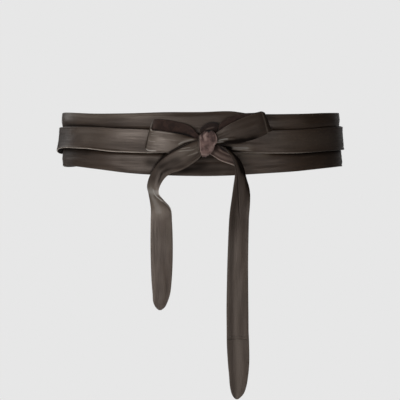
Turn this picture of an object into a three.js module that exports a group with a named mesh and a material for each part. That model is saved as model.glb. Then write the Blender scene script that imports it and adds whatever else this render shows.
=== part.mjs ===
// A leather wrap belt for the waist: a wide shaped panel across the front with a long tie sewn on at each
// end. The ties cross behind the waist, come back round over the panel and are tied in a bow at the front.
//
// Frame: millimetres, +Z up. The front faces -Y and +X is on the right for someone who looks at the front.
// The origin is the middle of the waist opening.

import * as THREE from "three";

// Driving dimensions

// The closed line round the waist that the middle of the panel's leather follows. Its outline is an oval a
// little squarer than an ellipse (which has squareness 2).
const WAIST = { halfWidth: 135, halfDepth: 93, squareness: 2.3 };

const PANEL_THICKNESS = 1.4;
const TIE_THICKNESS = 1.3;

// How far the panel's ends lie from the front centre, along the waist line.
const PANEL_REACH = 340;

// The straps press a groove into the panel. Its bands above and below the groove swell out in a smooth arch
// that is this share of a half wave, so that they turn in again a little at the panel's edges. A band
// narrower than the last value stays flat.
const GROOVE_HALF_WIDTH = 11.5;
const BAND_ARCH = 0.85;
const NARROWEST_BAND = 1;

// The middle of the knot, on the outer face of the panel.
const KNOT = { x: 6.1, y: -(WAIST.halfDepth + PANEL_THICKNESS / 2), z: -5.8 };

const SMOOTH_LEATHER = { color: 0x4a413b, roughness: 0.45, metalness: 0 };
const FLESH_LEATHER = { color: 0x6b5854, roughness: 0.9, metalness: 0 };

// Turns rows of numbers into objects with the named columns.
function table(columns, rows) {
  return rows.map((row) => Object.fromEntries(columns.map((name, i) => [name, row[i]])));
}

// The panel, a row for each section. along: millimetres along the waist line from the front centre,
// positive to the right. top, bottom: heights of its edges. bulge: how far the bands above and below the
// straps swell out. lean: how much further out the bottom edge lies than the top edge.
const PANEL = table(
  ["along", "top", "bottom", "bulge", "lean"],
  [
    [-340, 24.0, 0.0, 0.0, 0.0],
    [-300, 26.0, -9.5, 0.2, 0.0],
    [-260, 26.6, -21.0, 0.6, 0.0],
    [-225, 24.8, -25.6, 0.6, -0.4],
    [-183, 25.4, -25.6, 0.6, -0.8],
    [-165, 26.1, -25.3, 0.8, -0.7],
    [-145, 25.7, -25.3, 1.2, -0.5],
    [-106, 23.9, -28.9, 1.5, 0.0],
    [-70, 23.6, -33.0, 1.5, 0.0],
    [-35, 24.4, -35.2, 1.4, 0.0],
    [0, 24.5, -36.0, 1.2, 0.0],
    [27, 25.3, -35.5, 1.3, 0.0],
    [45, 23.1, -34.4, 1.4, 0.0],
    [62, 22.7, -33.3, 1.5, 0.0],
    [90, 23.2, -31.4, 1.5, 0.3],
    [125, 24.7, -28.3, 1.4, 1.2],
    [158, 25.9, -26.2, 0.9, 2.6],
    [175, 26.3, -25.9, 0.7, 3.2],
    [190, 25.6, -25.6, 0.5, 3.4],
    [225, 24.9, -24.8, 0.5, 2.4],
    [260, 22.0, -22.6, 0.6, 1.0],
    [300, 14.0, -19.0, 0.2, 0.0],
    [340, 6.0, -18.0, 0.0, 0.0],
  ],
);

// The straps round the waist, a row for each section. along: as for the panel, running on past the back
// centre, so that the left front strap starts on the panel's right end. height: of the strap's middle.
// width: across the strap. level: how far the middle of its leather lies outside the panel's. flare: how
// much further its lower edge stands off.
const STRAP_COLUMNS = ["along", "height", "width", "level", "flare"];

const LEFT_STRAP = table(STRAP_COLUMNS, [
  [-413, -5.4, 23.6, 1.7, 0.0],
  [-402, -6.0, 23.6, 1.7, 0.0],
  [-386, -8.9, 23.4, 1.8, 0.0],
  [-370, -9.4, 23.3, 2.6, 0.0],
  [-354, -9.3, 23.2, 3.4, 0.0],
  [-330, -8.6, 23.0, 3.5, 0.0],
  [-305, -7.0, 22.8, 2.9, 0.2],
  [-265, -4.2, 22.6, 2.2, 0.8],
  [-225, -1.6, 23.2, 2.1, 2.4],
  [-203, -0.9, 23.8, 3.1, 3.0],
  [-183, 0.7, 22.5, 3.5, 2.7],
  [-150, 1.9, 20.4, 2.8, 3.1],
  [-130, 1.5, 20.4, 2.4, 3.5],
  [-110, 0.7, 21.1, 2.1, 3.4],
  [-96, -0.5, 22.0, 2.1, 3.0],
  [-80, -1.8, 22.4, 2.1, 2.4],
  [-50, -3.0, 22.2, 2.0, 0.9],
  [-28, -3.8, 19.5, 2.6, 0.2],
  [-12, -4.9, 14.5, 3.6, 0.0],
  [5.7, -5.8, 11.0, 3.55, 0.0],
]);

const RIGHT_STRAP = table(STRAP_COLUMNS, [
  [6.5, -5.8, 11.0, 3.55, 0.0],
  [21, -5.4, 13.5, 3.55, 0.0],
  [33, -4.6, 18.0, 2.7, 0.1],
  [45, -3.8, 20.5, 2.1, 0.3],
  [65, -3.5, 21.8, 1.9, 1.2],
  [90, -3.1, 22.0, 1.9, 2.0],
  [110, -1.8, 22.4, 1.9, 3.0],
  [130, -0.2, 22.5, 1.9, 3.0],
  [158, 1.1, 22.5, 2.0, 2.4],
  [190, 2.2, 22.5, 2.7, 0.9],
  [225, 5.0, 22.6, 2.0, 1.2],
  [265, 8.8, 22.8, 2.2, 0.4],
  [305, 12.4, 23.0, 2.9, 0.0],
  [330, 14.3, 23.1, 3.5, 0.0],
  [354, 15.0, 23.2, 3.4, 0.0],
  [370, 15.0, 23.3, 2.6, 0.0],
  [386, 14.6, 23.4, 1.8, 0.0],
  [402, 12.0, 23.6, 1.7, 0.0],
  [413, 11.7, 23.6, 1.7, 0.0],
]);

// The pieces of the bow are strips with a row for each section: the places of the strip's two edges, and
// how far its middle arches away from the straight line between them. x: to the right of the knot's middle.
// out: in front of the panel's outer face. up: above the knot's middle. Each strip starts in the knot.
const STRIP_COLUMNS = ["x1", "out1", "up1", "x2", "out2", "up2", "arch"];

const LEFT_LOOP = table(STRIP_COLUMNS, [
  [-0.3, 7.75, 6.2, -0.3, 7.75, -5.7, 0.0],
  [-8.4, 7.95, 8.4, -8.8, 7.75, -5.7, 0.0],
  [-17.2, 5.2, 17.2, -19.8, 5.1, -2.3, 0.3],
  [-33.5, 2.4, 21.9, -36.3, 2.3, 1.4, 0.3],
  [-46.0, 0.7, 23.6, -49.4, 0.5, 3.2, 0.1],
  [-51.0, 0.9, 23.3, -56.2, 0.7, 3.2, 0.0],
  [-52.6, 2.2, 20.4, -58.8, 2.0, 0.4, 0.0],
  [-53.8, 3.6, 16.2, -59.2, 3.4, -3.6, 0.0],
  [-53.8, 5.2, 13.6, -56.8, 5.1, -6.4, -0.1],
  [-44.5, 9.3, 12.2, -46.6, 9.3, -7.5, -0.6],
  [-32.5, 11.8, 10.2, -33.9, 11.6, -8.7, -0.8],
  [-21.6, 11.9, 7.9, -22.6, 11.4, -7.7, -0.7],
  [-11.5, 11.1, 5.3, -11.8, 11.1, -5.7, -0.3],
  [-0.4, 10.95, 4.6, -0.4, 10.95, -4.8, 0.0],
]);

const RIGHT_LOOP = table(STRIP_COLUMNS, [
  [0.3, 7.75, 5.8, 0.3, 7.75, -5.7, 0.0],
  [9.1, 7.9, 9.6, 11.0, 7.65, -3.4, 0.0],
  [11.0, 7.5, 18.6, 19.0, 6.6, 0.2, -0.2],
  [19.8, 5.9, 24.6, 30.0, 5.2, 4.6, -0.3],
  [32.0, 4.4, 28.6, 41.0, 3.8, 8.4, -0.3],
  [44.6, 3.2, 29.6, 52.4, 2.2, 11.6, -0.2],
  [50.4, 2.9, 30.8, 58.0, 1.8, 13.2, 0.0],
  [52.4, 4.2, 30.0, 59.8, 3.2, 12.8, 0.0],
  [53.0, 6.0, 29.4, 59.6, 4.8, 12.0, 0.0],
  [51.6, 7.9, 29.7, 57.0, 6.8, 10.6, 0.6],
  [44.6, 11.0, 28.3, 48.6, 10.0, 6.2, 1.5],
  [33.0, 12.4, 24.5, 38.0, 11.8, 2.7, 1.9],
  [20.7, 12.5, 18.6, 27.0, 11.9, 0.4, 1.6],
  [10.8, 11.6, 12.6, 15.6, 12.0, -0.3, 0.6],
  [0.4, 10.95, 5.0, 0.4, 10.95, -3.4, 0.0],
]);

// The shorter hanging end runs out to the left over its loop, turns down off the panel's lower edge in one
// twist, and hangs.
const LEFT_TAIL = table(STRIP_COLUMNS, [
  [1.5, 12.6, 4.4, 0.5, 12.6, -5.6, 0.0],
  [-6.0, 12.6, 4.2, -4.6, 12.5, -9.4, 0.0],
  [-12.2, 13.4, 3.2, -9.6, 12.9, -14.7, 0.4],
  [-25.4, 14.3, -3.0, -17.9, 14.2, -20.8, 1.5],
  [-38.5, 12.8, -10.2, -26.8, 14.2, -25.5, 1.8],
  [-48.4, 10.6, -19.2, -34.8, 14.0, -27.9, 1.8],
  [-54.6, 7.6, -30.2, -41.1, 14.0, -33.0, 1.8],
  [-56.9, 5.0, -39.6, -45.8, 14.5, -41.5, 1.8],
  [-55.5, 4.5, -47.1, -46.2, 14.0, -47.1, 1.4],
  [-54.4, 5.4, -54.5, -41.5, 13.2, -53.0, 1.2],
  [-53.8, 6.4, -62.0, -35.3, 11.6, -60.5, 1.0],
  [-54.0, 7.0, -74.0, -33.8, 10.6, -74.0, 0.8],
  [-54.0, 7.0, -103.6, -33.1, 10.0, -103.6, 0.7],
  [-53.2, 6.4, -128.0, -34.1, 9.2, -128.0, 0.6],
  [-52.2, 6.0, -141.0, -35.6, 8.4, -141.0, 0.4],
  [-51.6, 6.1, -148.9, -38.1, 8.0, -148.9, 0.3],
  [-49.2, 6.4, -154.0, -41.0, 7.6, -154.2, 0.1],
  [-46.4, 6.8, -156.6, -44.2, 7.1, -156.6, 0.0],
]);

// The longer hanging end leaves the knot to the lower right with its flesh side out, rolls forward over
// itself so that the smooth side comes out, and hangs. Its first edge is the one that ends up on the left.
const RIGHT_TAIL = table(STRIP_COLUMNS, [
  [-1.0, 9.35, 2.0, -1.6, 9.35, -8.2, 0.0],
  [5.0, 9.35, 1.2, 3.8, 9.35, -10.8, 0.0],
  [10.0, 9.4, -0.8, 12.2, 9.1, -16.0, 0.0],
  [11.8, 9.6, -1.9, 24.5, 8.2, -20.4, 1.7],
  [14.2, 11.6, -3.4, 33.2, 6.4, -24.9, 3.6],
  [17.4, 14.6, -6.3, 34.8, 6.0, -29.8, 4.2],
  [21.4, 15.2, -11.9, 36.2, 6.8, -35.0, 3.2],
  [24.3, 15.0, -18.0, 38.0, 7.8, -40.0, 1.8],
  [25.2, 13.8, -28.7, 39.3, 9.6, -46.5, 0.8],
  [23.9, 12.3, -39.0, 39.6, 11.6, -53.6, -0.2],
  [22.0, 11.0, -52.8, 39.2, 12.2, -61.0, -0.4],
  [20.5, 9.9, -64.1, 38.6, 12.2, -67.5, -0.3],
  [19.6, 9.2, -76.0, 38.3, 11.8, -76.5, 0.0],
  [18.3, 8.2, -109.2, 37.8, 11.0, -109.2, 0.5],
  [17.5, 7.2, -148.8, 38.0, 10.0, -148.8, 0.6],
  [17.6, 6.7, -184.0, 38.3, 9.5, -184.0, 0.6],
]);

// The piece sewn on behind its lower end.
const RIGHT_TAIL_TIP = table(STRIP_COLUMNS, [
  [17.9, 5.2, -175.5, 38.2, 8.0, -175.5, 0.6],
  [17.7, 5.0, -186.5, 38.7, 7.8, -186.5, 0.6],
  [18.7, 5.4, -205.4, 38.9, 7.9, -205.4, 0.6],
  [19.8, 5.8, -218.0, 37.9, 7.9, -218.0, 0.5],
  [20.7, 6.0, -228.6, 36.1, 7.8, -228.6, 0.3],
  [22.4, 6.3, -235.6, 33.4, 7.6, -235.6, 0.1],
  [24.8, 6.6, -239.4, 29.8, 7.4, -239.4, 0.0],
  [26.6, 6.9, -240.6, 28.0, 7.1, -240.6, 0.0],
]);

// The first crossing of the two straps: it comes up between the panel and the straps, rolls over above them
// and goes down in front of them, behind the bow.
const HALF_KNOT = table(STRIP_COLUMNS, [
  [-5.6, 1.1, -11.0, 5.8, 1.1, -11.0, 0.0],
  [-6.4, 1.1, 2.0, 6.6, 1.1, 2.0, 0.0],
  [-6.8, 1.1, 6.0, 7.6, 1.1, 8.0, 0.0],
  [-6.9, 2.5, 11.0, 8.6, 2.9, 16.0, 0.2],
  [-6.9, 4.0, 13.2, 9.6, 4.3, 19.0, 3.4],
  [-6.9, 5.2, 12.0, 9.5, 6.0, 16.8, 2.6],
  [-6.6, 4.7, 9.6, 8.2, 4.8, 12.0, 0.0],
  [-6.4, 4.5, 6.0, 6.6, 4.5, 6.0, 0.0],
  [-5.6, 4.5, -11.0, 5.8, 4.5, -11.0, 0.0],
]);

// The turn of strap round the middle of the bow. It is a closed band: an upright oval in side view, swollen
// across its width. The thick left tail pushes its rim forward at the lower left.
const KNOT_WRAP = {
  backOut: 6.1,
  frontOut: 14.7,
  halfHeight: 11.6,
  squareness: 4,
  frontSwell: 1.1,
  rimLift: 2.0,
};

// Its outline in front view, a row for each height: how far it reaches to the left and to the right of the
// knot's middle. The bottom is drawn over to the left.
const WRAP_OUTLINE = table(
  ["up", "left", "right"],
  [
    [-11.6, 5.6, -1.6],
    [-10.2, 6.9, 0.6],
    [-7.8, 8.2, 3.4],
    [-5.6, 8.9, 5.2],
    [-3.0, 9.3, 6.0],
    [-0.6, 9.5, 6.5],
    [0.6, 9.5, 8.4],
    [4.0, 9.3, 8.6],
    [7.6, 8.4, 7.8],
    [9.6, 5.6, 6.6],
    [11.6, 3.4, 4.8],
  ],
);

// How finely each piece is divided, along and across.
const DIVISIONS = {
  panel: { along: 60, across: 10 },
  strap: { along: 46, across: 4 },
  loop: { along: 33, across: 5 },
  tail: { along: 38, across: 5 },
  tip: { along: 14, across: 4 },
  halfKnot: { along: 22, across: 4 },
  wrap: { along: 32, across: 8 },
};

// Curves through tables

// The value at a place on a smooth curve through values given at rising places.
function smooth(places, values, place) {
  const last = places.length - 1;
  let i = 0;
  while (i < last - 1 && places[i + 1] < place) i += 1;
  const slope = (k) => {
    const before = Math.max(k - 1, 0);
    const after = Math.min(k + 1, last);
    return (values[after] - values[before]) / (places[after] - places[before]);
  };
  const step = places[i + 1] - places[i];
  const t = (place - places[i]) / step;
  const t2 = t * t;
  const t3 = t2 * t;
  return (
    (2 * t3 - 3 * t2 + 1) * values[i] +
    (t3 - 2 * t2 + t) * step * slope(i) +
    (3 * t2 - 2 * t3) * values[i + 1] +
    (t3 - t2) * step * slope(i + 1)
  );
}

// The section of a table at a place between its rows, which one of its columns gives.
function sectionOf(rows, column, place) {
  const places = rows.map((row) => row[column]);
  const columns = Object.keys(rows[0]);
  return Object.fromEntries(
    columns.map((name) => [name, smooth(places, rows.map((row) => row[name]), place)]),
  );
}

// The waist line

const WAIST_STEPS = 1440;

// The waist line's point in the direction of an angle from the front centre.
function waistAtAngle(angle) {
  const { halfWidth, halfDepth, squareness } = WAIST;
  const across = Math.abs(Math.sin(angle) / halfWidth) ** squareness;
  const deep = Math.abs(Math.cos(angle) / halfDepth) ** squareness;
  const radius = (across + deep) ** (-1 / squareness);
  return new THREE.Vector2(radius * Math.sin(angle), -radius * Math.cos(angle));
}

// The length along the waist line up to each of its steps.
const waistPoints = [];
const waistLengths = [];
for (let i = 0; i <= WAIST_STEPS; i += 1) {
  const point = waistAtAngle((2 * Math.PI * i) / WAIST_STEPS);
  const before = i === 0 ? 0 : waistLengths[i - 1] + point.distanceTo(waistPoints[i - 1]);
  waistPoints.push(point);
  waistLengths.push(before);
}
const WAIST_LENGTH = waistLengths[WAIST_STEPS];

// A point at a length along the waist line, moved outwards by offset and up to height.
function waistPoint(along, offset, height) {
  const length = ((along % WAIST_LENGTH) + WAIST_LENGTH) % WAIST_LENGTH;
  let i = 1;
  while (waistLengths[i] < length) i += 1;
  const share = (length - waistLengths[i - 1]) / (waistLengths[i] - waistLengths[i - 1]);
  const point = waistPoints[i - 1].clone().lerp(waistPoints[i], share);
  const { halfWidth, halfDepth, squareness } = WAIST;
  const steepness = (value, half) =>
    (Math.sign(value) * Math.abs(value / half) ** (squareness - 1)) / half;
  const outwards = new THREE.Vector2(
    steepness(point.x, halfWidth),
    steepness(point.y, halfDepth),
  ).normalize();
  point.addScaledVector(outwards, offset);
  return new THREE.Vector3(point.x, point.y, height);
}

// Leather walls

// The step in u and v over which a wall's direction is measured.
const SMALL = 1e-3;

// A wall of leather. middle(u, v) gives the point of its middle layer, for u from 0 to 1 along it and v
// from -1 to 1 across it. A closed wall joins up with itself along u.
function leatherWall(middle, thickness, { along, across }, closed = false) {
  const positions = [];
  const rings = closed ? along : along + 1;
  const pointAt = (u, v) => middle(closed ? (u + 1) % 1 : u, v);
  for (let i = 0; i < rings; i += 1) {
    const u = i / along;
    const u0 = closed ? u - SMALL : Math.max(u - SMALL, 0);
    const u1 = closed ? u + SMALL : Math.min(u + SMALL, 1);
    for (let j = 0; j <= across; j += 1) {
      const v = (2 * j) / across - 1;
      const v0 = Math.max(v - SMALL, -1);
      const v1 = Math.min(v + SMALL, 1);
      const onward = pointAt(u1, v).sub(pointAt(u0, v));
      const sideways = pointAt(u, v1).sub(pointAt(u, v0));
      const normal = onward.cross(sideways).normalize();
      const point = pointAt(u, v);
      for (const side of [thickness / 2, -thickness / 2]) {
        positions.push(...point.clone().addScaledVector(normal, side).toArray());
      }
    }
  }
  const vertex = (i, j, side) => 2 * ((i % rings) * (across + 1) + j) + side;
  const index = [];
  const quad = (a, b, c, d) => index.push(a, b, c, a, c, d);
  for (let i = 0; i < along; i += 1) {
    for (let j = 0; j < across; j += 1) {
      quad(vertex(i, j, 0), vertex(i + 1, j, 0), vertex(i + 1, j + 1, 0), vertex(i, j + 1, 0));
      quad(vertex(i, j, 1), vertex(i, j + 1, 1), vertex(i + 1, j + 1, 1), vertex(i + 1, j, 1));
    }
    quad(vertex(i + 1, 0, 0), vertex(i, 0, 0), vertex(i, 0, 1), vertex(i + 1, 0, 1));
    quad(vertex(i, across, 0), vertex(i + 1, across, 0), vertex(i + 1, across, 1), vertex(i, across, 1));
  }
  if (!closed) {
    for (let j = 0; j < across; j += 1) {
      quad(vertex(0, j, 0), vertex(0, j + 1, 0), vertex(0, j + 1, 1), vertex(0, j, 1));
      quad(vertex(along, j + 1, 0), vertex(along, j, 0), vertex(along, j, 1), vertex(along, j + 1, 1));
    }
  }
  const geometry = new THREE.BufferGeometry();
  geometry.setAttribute("position", new THREE.Float32BufferAttribute(positions, 3));
  geometry.setIndex(index);
  return geometry;
}

// The strap that lies over the panel at a place along the waist.
function strapOver(along) {
  const rows = along < RIGHT_STRAP[0].along ? LEFT_STRAP : RIGHT_STRAP;
  return sectionOf(rows, "along", along);
}

function panelWall() {
  const middle = (u, v) => {
    const along = PANEL_REACH * (2 * u - 1);
    const section = sectionOf(PANEL, "along", along);
    const height = THREE.MathUtils.lerp(section.top, section.bottom, (v + 1) / 2);
    const groove = strapOver(along).height;
    const above = height > groove;
    const beyond = Math.abs(height - groove) - GROOVE_HALF_WIDTH;
    const band = Math.abs((above ? section.top : section.bottom) - groove) - GROOVE_HALF_WIDTH;
    const share = beyond > 0 && band > NARROWEST_BAND ? beyond / band : 0;
    const swell = section.bulge * Math.sin(BAND_ARCH * Math.PI * share);
    return waistPoint(along, swell + (section.lean * v) / 2, height);
  };
  return leatherWall(middle, PANEL_THICKNESS, DIVISIONS.panel);
}

function strapWall(rows) {
  const first = rows[0].along;
  const last = rows[rows.length - 1].along;
  const middle = (u, v) => {
    const along = THREE.MathUtils.lerp(first, last, u);
    const { height, width, level, flare } = sectionOf(rows, "along", along);
    const standOff = flare * ((1 + v) / 2) ** 2;
    return waistPoint(along, level + standOff, height - (v * width) / 2);
  };
  return leatherWall(middle, TIE_THICKNESS, DIVISIONS.strap);
}

// A strip of the bow, through the sections of its table. An arch above zero is towards the side that faces
// the viewer where the strip runs left or down.
function stripWall(rows, divisions) {
  const edge = (side) =>
    new THREE.CatmullRomCurve3(
      rows.map((row) => new THREE.Vector3(row[`x${side}`], -row[`out${side}`], row[`up${side}`])),
    );
  const edges = [edge(1), edge(2)];
  const places = rows.map((row, i) => i / (rows.length - 1));
  const arches = rows.map((row) => row.arch);
  const middle = (u, v) => {
    const [start, end] = edges.map((curve) => curve.getPoint(u));
    const onward = edges[0].getTangent(u).add(edges[1].getTangent(u));
    const sideways = end.clone().sub(start);
    const normal = onward.cross(sideways).normalize();
    const arch = smooth(places, arches, u) * (1 - v * v);
    return start.lerp(end, (v + 1) / 2).addScaledVector(normal, arch);
  };
  return leatherWall(middle, TIE_THICKNESS, divisions);
}

function knotWrapWall() {
  const { backOut, frontOut, halfHeight, squareness, frontSwell, rimLift } = KNOT_WRAP;
  const middleOut = (backOut + frontOut) / 2;
  const halfOut = (frontOut - backOut) / 2;
  const squared = (value) => Math.sign(value) * Math.abs(value) ** (2 / squareness);
  const middle = (u, v) => {
    const angle = -2 * Math.PI * u;
    const forward = squared(Math.cos(angle));
    const upward = squared(Math.sin(angle));
    const { left, right } = sectionOf(WRAP_OUTLINE, "up", halfHeight * upward);
    const swell = frontSwell * (1 - v * v);
    const lift = rimLift * Math.max(-upward, 0) * Math.max(-v, 0);
    const out = middleOut + halfOut * forward + (swell + lift) * Math.max(forward, 0);
    return new THREE.Vector3(THREE.MathUtils.lerp(-left, right, (v + 1) / 2), -out, halfHeight * upward);
  };
  return leatherWall(middle, TIE_THICKNESS, DIVISIONS.wrap, true);
}

// The belt

const belt = new THREE.Group();
const bow = new THREE.Group();
bow.position.set(KNOT.x, KNOT.y, KNOT.z);
belt.add(bow);

function add(parent, name, geometry, finish) {
  const mesh = new THREE.Mesh(geometry, new THREE.MeshStandardMaterial(finish));
  mesh.name = name;
  parent.add(mesh);
}

add(belt, "front_panel", panelWall(), SMOOTH_LEATHER);
add(belt, "tie_left_front", strapWall(LEFT_STRAP), SMOOTH_LEATHER);
add(belt, "tie_right_front", strapWall(RIGHT_STRAP), SMOOTH_LEATHER);
add(bow, "half_knot", stripWall(HALF_KNOT, DIVISIONS.halfKnot), FLESH_LEATHER);
add(bow, "bow_loop_left", stripWall(LEFT_LOOP, DIVISIONS.loop), SMOOTH_LEATHER);
add(bow, "bow_loop_right", stripWall(RIGHT_LOOP, DIVISIONS.loop), SMOOTH_LEATHER);
add(bow, "knot_wrap", knotWrapWall(), FLESH_LEATHER);
add(bow, "tail_left", stripWall(LEFT_TAIL, DIVISIONS.tail), SMOOTH_LEATHER);
add(bow, "tail_right", stripWall(RIGHT_TAIL, DIVISIONS.tail), SMOOTH_LEATHER);
add(bow, "tail_right_tip", stripWall(RIGHT_TAIL_TIP, DIVISIONS.tip), SMOOTH_LEATHER);

export default belt;
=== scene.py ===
"""The looks of a leather wrap belt tied in a bow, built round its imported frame.

The belt's tables and sizes are in millimetres, in the frame's own axes: the front faces -Y, +X is on the
right for someone who looks at the front, +Z is up and the origin is the middle of the waist opening. Meshes
are made in metres, and the studio's sizes are in metres as well.
"""

import logging
import math
from dataclasses import dataclass, field, replace
from enum import Enum, IntEnum
from typing import ClassVar, NamedTuple, Sequence

import bpy
import numpy as np
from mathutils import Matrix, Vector


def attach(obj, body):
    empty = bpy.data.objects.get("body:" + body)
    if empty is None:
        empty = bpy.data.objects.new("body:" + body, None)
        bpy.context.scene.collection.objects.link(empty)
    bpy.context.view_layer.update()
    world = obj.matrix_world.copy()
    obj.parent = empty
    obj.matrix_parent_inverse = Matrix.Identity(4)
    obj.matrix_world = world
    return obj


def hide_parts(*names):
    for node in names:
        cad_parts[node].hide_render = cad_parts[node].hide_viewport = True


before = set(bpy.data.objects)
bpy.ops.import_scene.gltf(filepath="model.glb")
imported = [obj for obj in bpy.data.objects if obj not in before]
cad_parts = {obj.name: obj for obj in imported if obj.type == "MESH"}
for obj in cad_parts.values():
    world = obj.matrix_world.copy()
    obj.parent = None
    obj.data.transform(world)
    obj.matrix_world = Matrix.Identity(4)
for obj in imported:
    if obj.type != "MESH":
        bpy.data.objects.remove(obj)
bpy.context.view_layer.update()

log = logging.getLogger("wrap_belt")

MM = 0.001


# Tables of the belt's sections


class PanelRow(NamedTuple):
    """One section of the panel.

    Attributes:
        along: Length along the waist line from the front centre, positive to the right.
        top: The height of its top edge.
        bottom: The height of its bottom edge.
        bulge: How far the bands above and below the straps swell out.
        lean: How much further out the bottom edge lies than the top.
    """

    along: float
    top: float
    bottom: float
    bulge: float
    lean: float


class StrapRow(NamedTuple):
    """One section of a strap round the waist.

    Attributes:
        along: Length along the waist line from the front centre, positive to the right.
        height: The height of its middle.
        width: Its width.
        level: How far its upper edge lies outside the waist line.
        flare: How much further out its lower edge stands.
    """

    along: float
    height: float
    width: float
    level: float
    flare: float


class StripRow(NamedTuple):
    """One section of a strip of the bow, measured from the knot's middle.

    Attributes:
        x1: How far to the right its first edge lies.
        out1: How far that edge lies in front of the panel.
        up1: How high it lies.
        x2: How far to the right its second edge lies.
        out2: How far that edge lies in front of the panel.
        up2: How high it lies.
        arch: How far the strip's middle arches off the straight line between them.
    """

    x1: float
    out1: float
    up1: float
    x2: float
    out2: float
    up2: float
    arch: float


class WrapRow(NamedTuple):
    """The outline of the knot's front at one height, measured from the knot's middle.

    Attributes:
        up: The height.
        left: How far it reaches to the left.
        right: How far it reaches to the right, below zero where it ends left of the middle.
    """

    up: float
    left: float
    right: float


PANEL_ROWS = tuple(
    PanelRow(*row)
    for row in (
        (-340, 24.0, 0.0, 0.0, 0.0),
        (-300, 26.0, -9.5, 0.2, 0.0),
        (-260, 26.6, -21.0, 0.6, 0.0),
        (-225, 24.8, -25.6, 0.6, -0.4),
        (-183, 25.4, -25.6, 0.6, -0.8),
        (-165, 26.1, -25.3, 0.8, -0.7),
        (-145, 25.7, -25.3, 1.2, -0.5),
        (-106, 23.9, -28.9, 1.5, 0.0),
        (-70, 23.6, -33.0, 1.5, 0.0),
        (-35, 24.4, -35.2, 1.4, 0.0),
        (0, 24.5, -36.0, 1.2, 0.0),
        (27, 25.3, -35.5, 1.3, 0.0),
        (45, 23.1, -34.4, 1.4, 0.0),
        (62, 22.7, -33.3, 1.5, 0.0),
        (90, 23.2, -31.4, 1.5, 0.3),
        (125, 24.7, -28.3, 1.4, 1.2),
        (158, 25.9, -26.2, 0.9, 2.6),
        (175, 26.3, -25.9, 0.7, 3.2),
        (190, 25.6, -25.6, 0.5, 3.4),
        (225, 24.9, -24.8, 0.5, 2.4),
        (260, 22.0, -22.6, 0.6, 1.0),
        (300, 14.0, -19.0, 0.2, 0.0),
        (340, 6.0, -18.0, 0.0, 0.0),
    )
)

LEFT_STRAP_ROWS = tuple(
    StrapRow(*row)
    for row in (
        (-413, -5.4, 23.6, 1.7, 0.0),
        (-402, -6.0, 23.6, 1.7, 0.0),
        (-386, -8.9, 23.4, 1.8, 0.0),
        (-370, -9.4, 23.3, 2.6, 0.0),
        (-354, -9.3, 23.2, 3.4, 0.0),
        (-330, -8.6, 23.0, 3.5, 0.0),
        (-305, -7.0, 22.8, 2.9, 0.2),
        (-265, -4.2, 22.6, 2.2, 0.8),
        (-225, -1.6, 23.2, 2.1, 2.4),
        (-203, -0.9, 23.8, 3.1, 3.0),
        (-183, 0.7, 22.5, 3.5, 2.7),
        (-150, 1.9, 20.4, 2.8, 3.1),
        (-130, 1.5, 20.4, 2.4, 3.5),
        (-110, 0.7, 21.1, 2.1, 3.4),
        (-96, -0.5, 22.0, 2.1, 3.0),
        (-80, -1.8, 22.4, 2.1, 2.4),
        (-50, -3.0, 22.2, 2.0, 0.9),
        (-28, -3.8, 19.5, 2.6, 0.2),
        (-12, -4.9, 14.5, 3.6, 0.0),
        (5.7, -5.8, 11.0, 3.55, 0.0),
    )
)

RIGHT_STRAP_ROWS = tuple(
    StrapRow(*row)
    for row in (
        (6.5, -5.8, 11.0, 3.55, 0.0),
        (21, -5.4, 13.5, 3.55, 0.0),
        (33, -4.6, 18.0, 2.7, 0.1),
        (45, -3.8, 20.5, 2.1, 0.3),
        (65, -3.5, 21.8, 1.9, 1.2),
        (90, -3.1, 22.0, 1.9, 2.0),
        (110, -1.8, 22.4, 1.9, 3.0),
        (130, -0.2, 22.5, 1.9, 3.0),
        (158, 1.1, 22.5, 2.0, 2.4),
        (190, 2.2, 22.5, 2.7, 0.9),
        (225, 5.0, 22.6, 2.0, 1.2),
        (265, 8.8, 22.8, 2.2, 0.4),
        (305, 12.4, 23.0, 2.9, 0.0),
        (330, 14.3, 23.1, 3.5, 0.0),
        (354, 15.0, 23.2, 3.4, 0.0),
        (370, 15.0, 23.3, 2.6, 0.0),
        (386, 14.6, 23.4, 1.8, 0.0),
        (402, 12.0, 23.6, 1.7, 0.0),
        (413, 11.7, 23.6, 1.7, 0.0),
    )
)

LEFT_LOOP_ROWS = tuple(
    StripRow(*row)
    for row in (
        (-0.3, 7.75, 6.2, -0.3, 7.75, -5.7, 0.0),
        (-8.4, 7.95, 8.4, -8.8, 7.75, -5.7, 0.0),
        (-17.2, 5.2, 17.2, -19.8, 5.1, -2.3, 0.3),
        (-33.5, 2.4, 21.9, -36.3, 2.3, 1.4, 0.3),
        (-46.0, 0.7, 23.6, -49.4, 0.5, 3.2, 0.1),
        (-51.0, 0.9, 23.3, -56.2, 0.7, 3.2, 0.0),
        (-52.6, 2.2, 20.4, -58.8, 2.0, 0.4, 0.0),
        (-53.8, 3.6, 16.2, -59.2, 3.4, -3.6, 0.0),
        (-53.8, 5.2, 13.6, -56.8, 5.1, -6.4, -0.1),
        (-44.5, 9.3, 12.2, -46.6, 9.3, -7.5, -0.6),
        (-32.5, 11.8, 10.2, -33.9, 11.6, -8.7, -0.8),
        (-21.6, 11.9, 7.9, -22.6, 11.4, -7.7, -0.7),
        (-11.5, 11.1, 5.3, -11.8, 11.1, -5.7, -0.3),
        (-0.4, 10.95, 4.6, -0.4, 10.95, -4.8, 0.0),
    )
)

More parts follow.
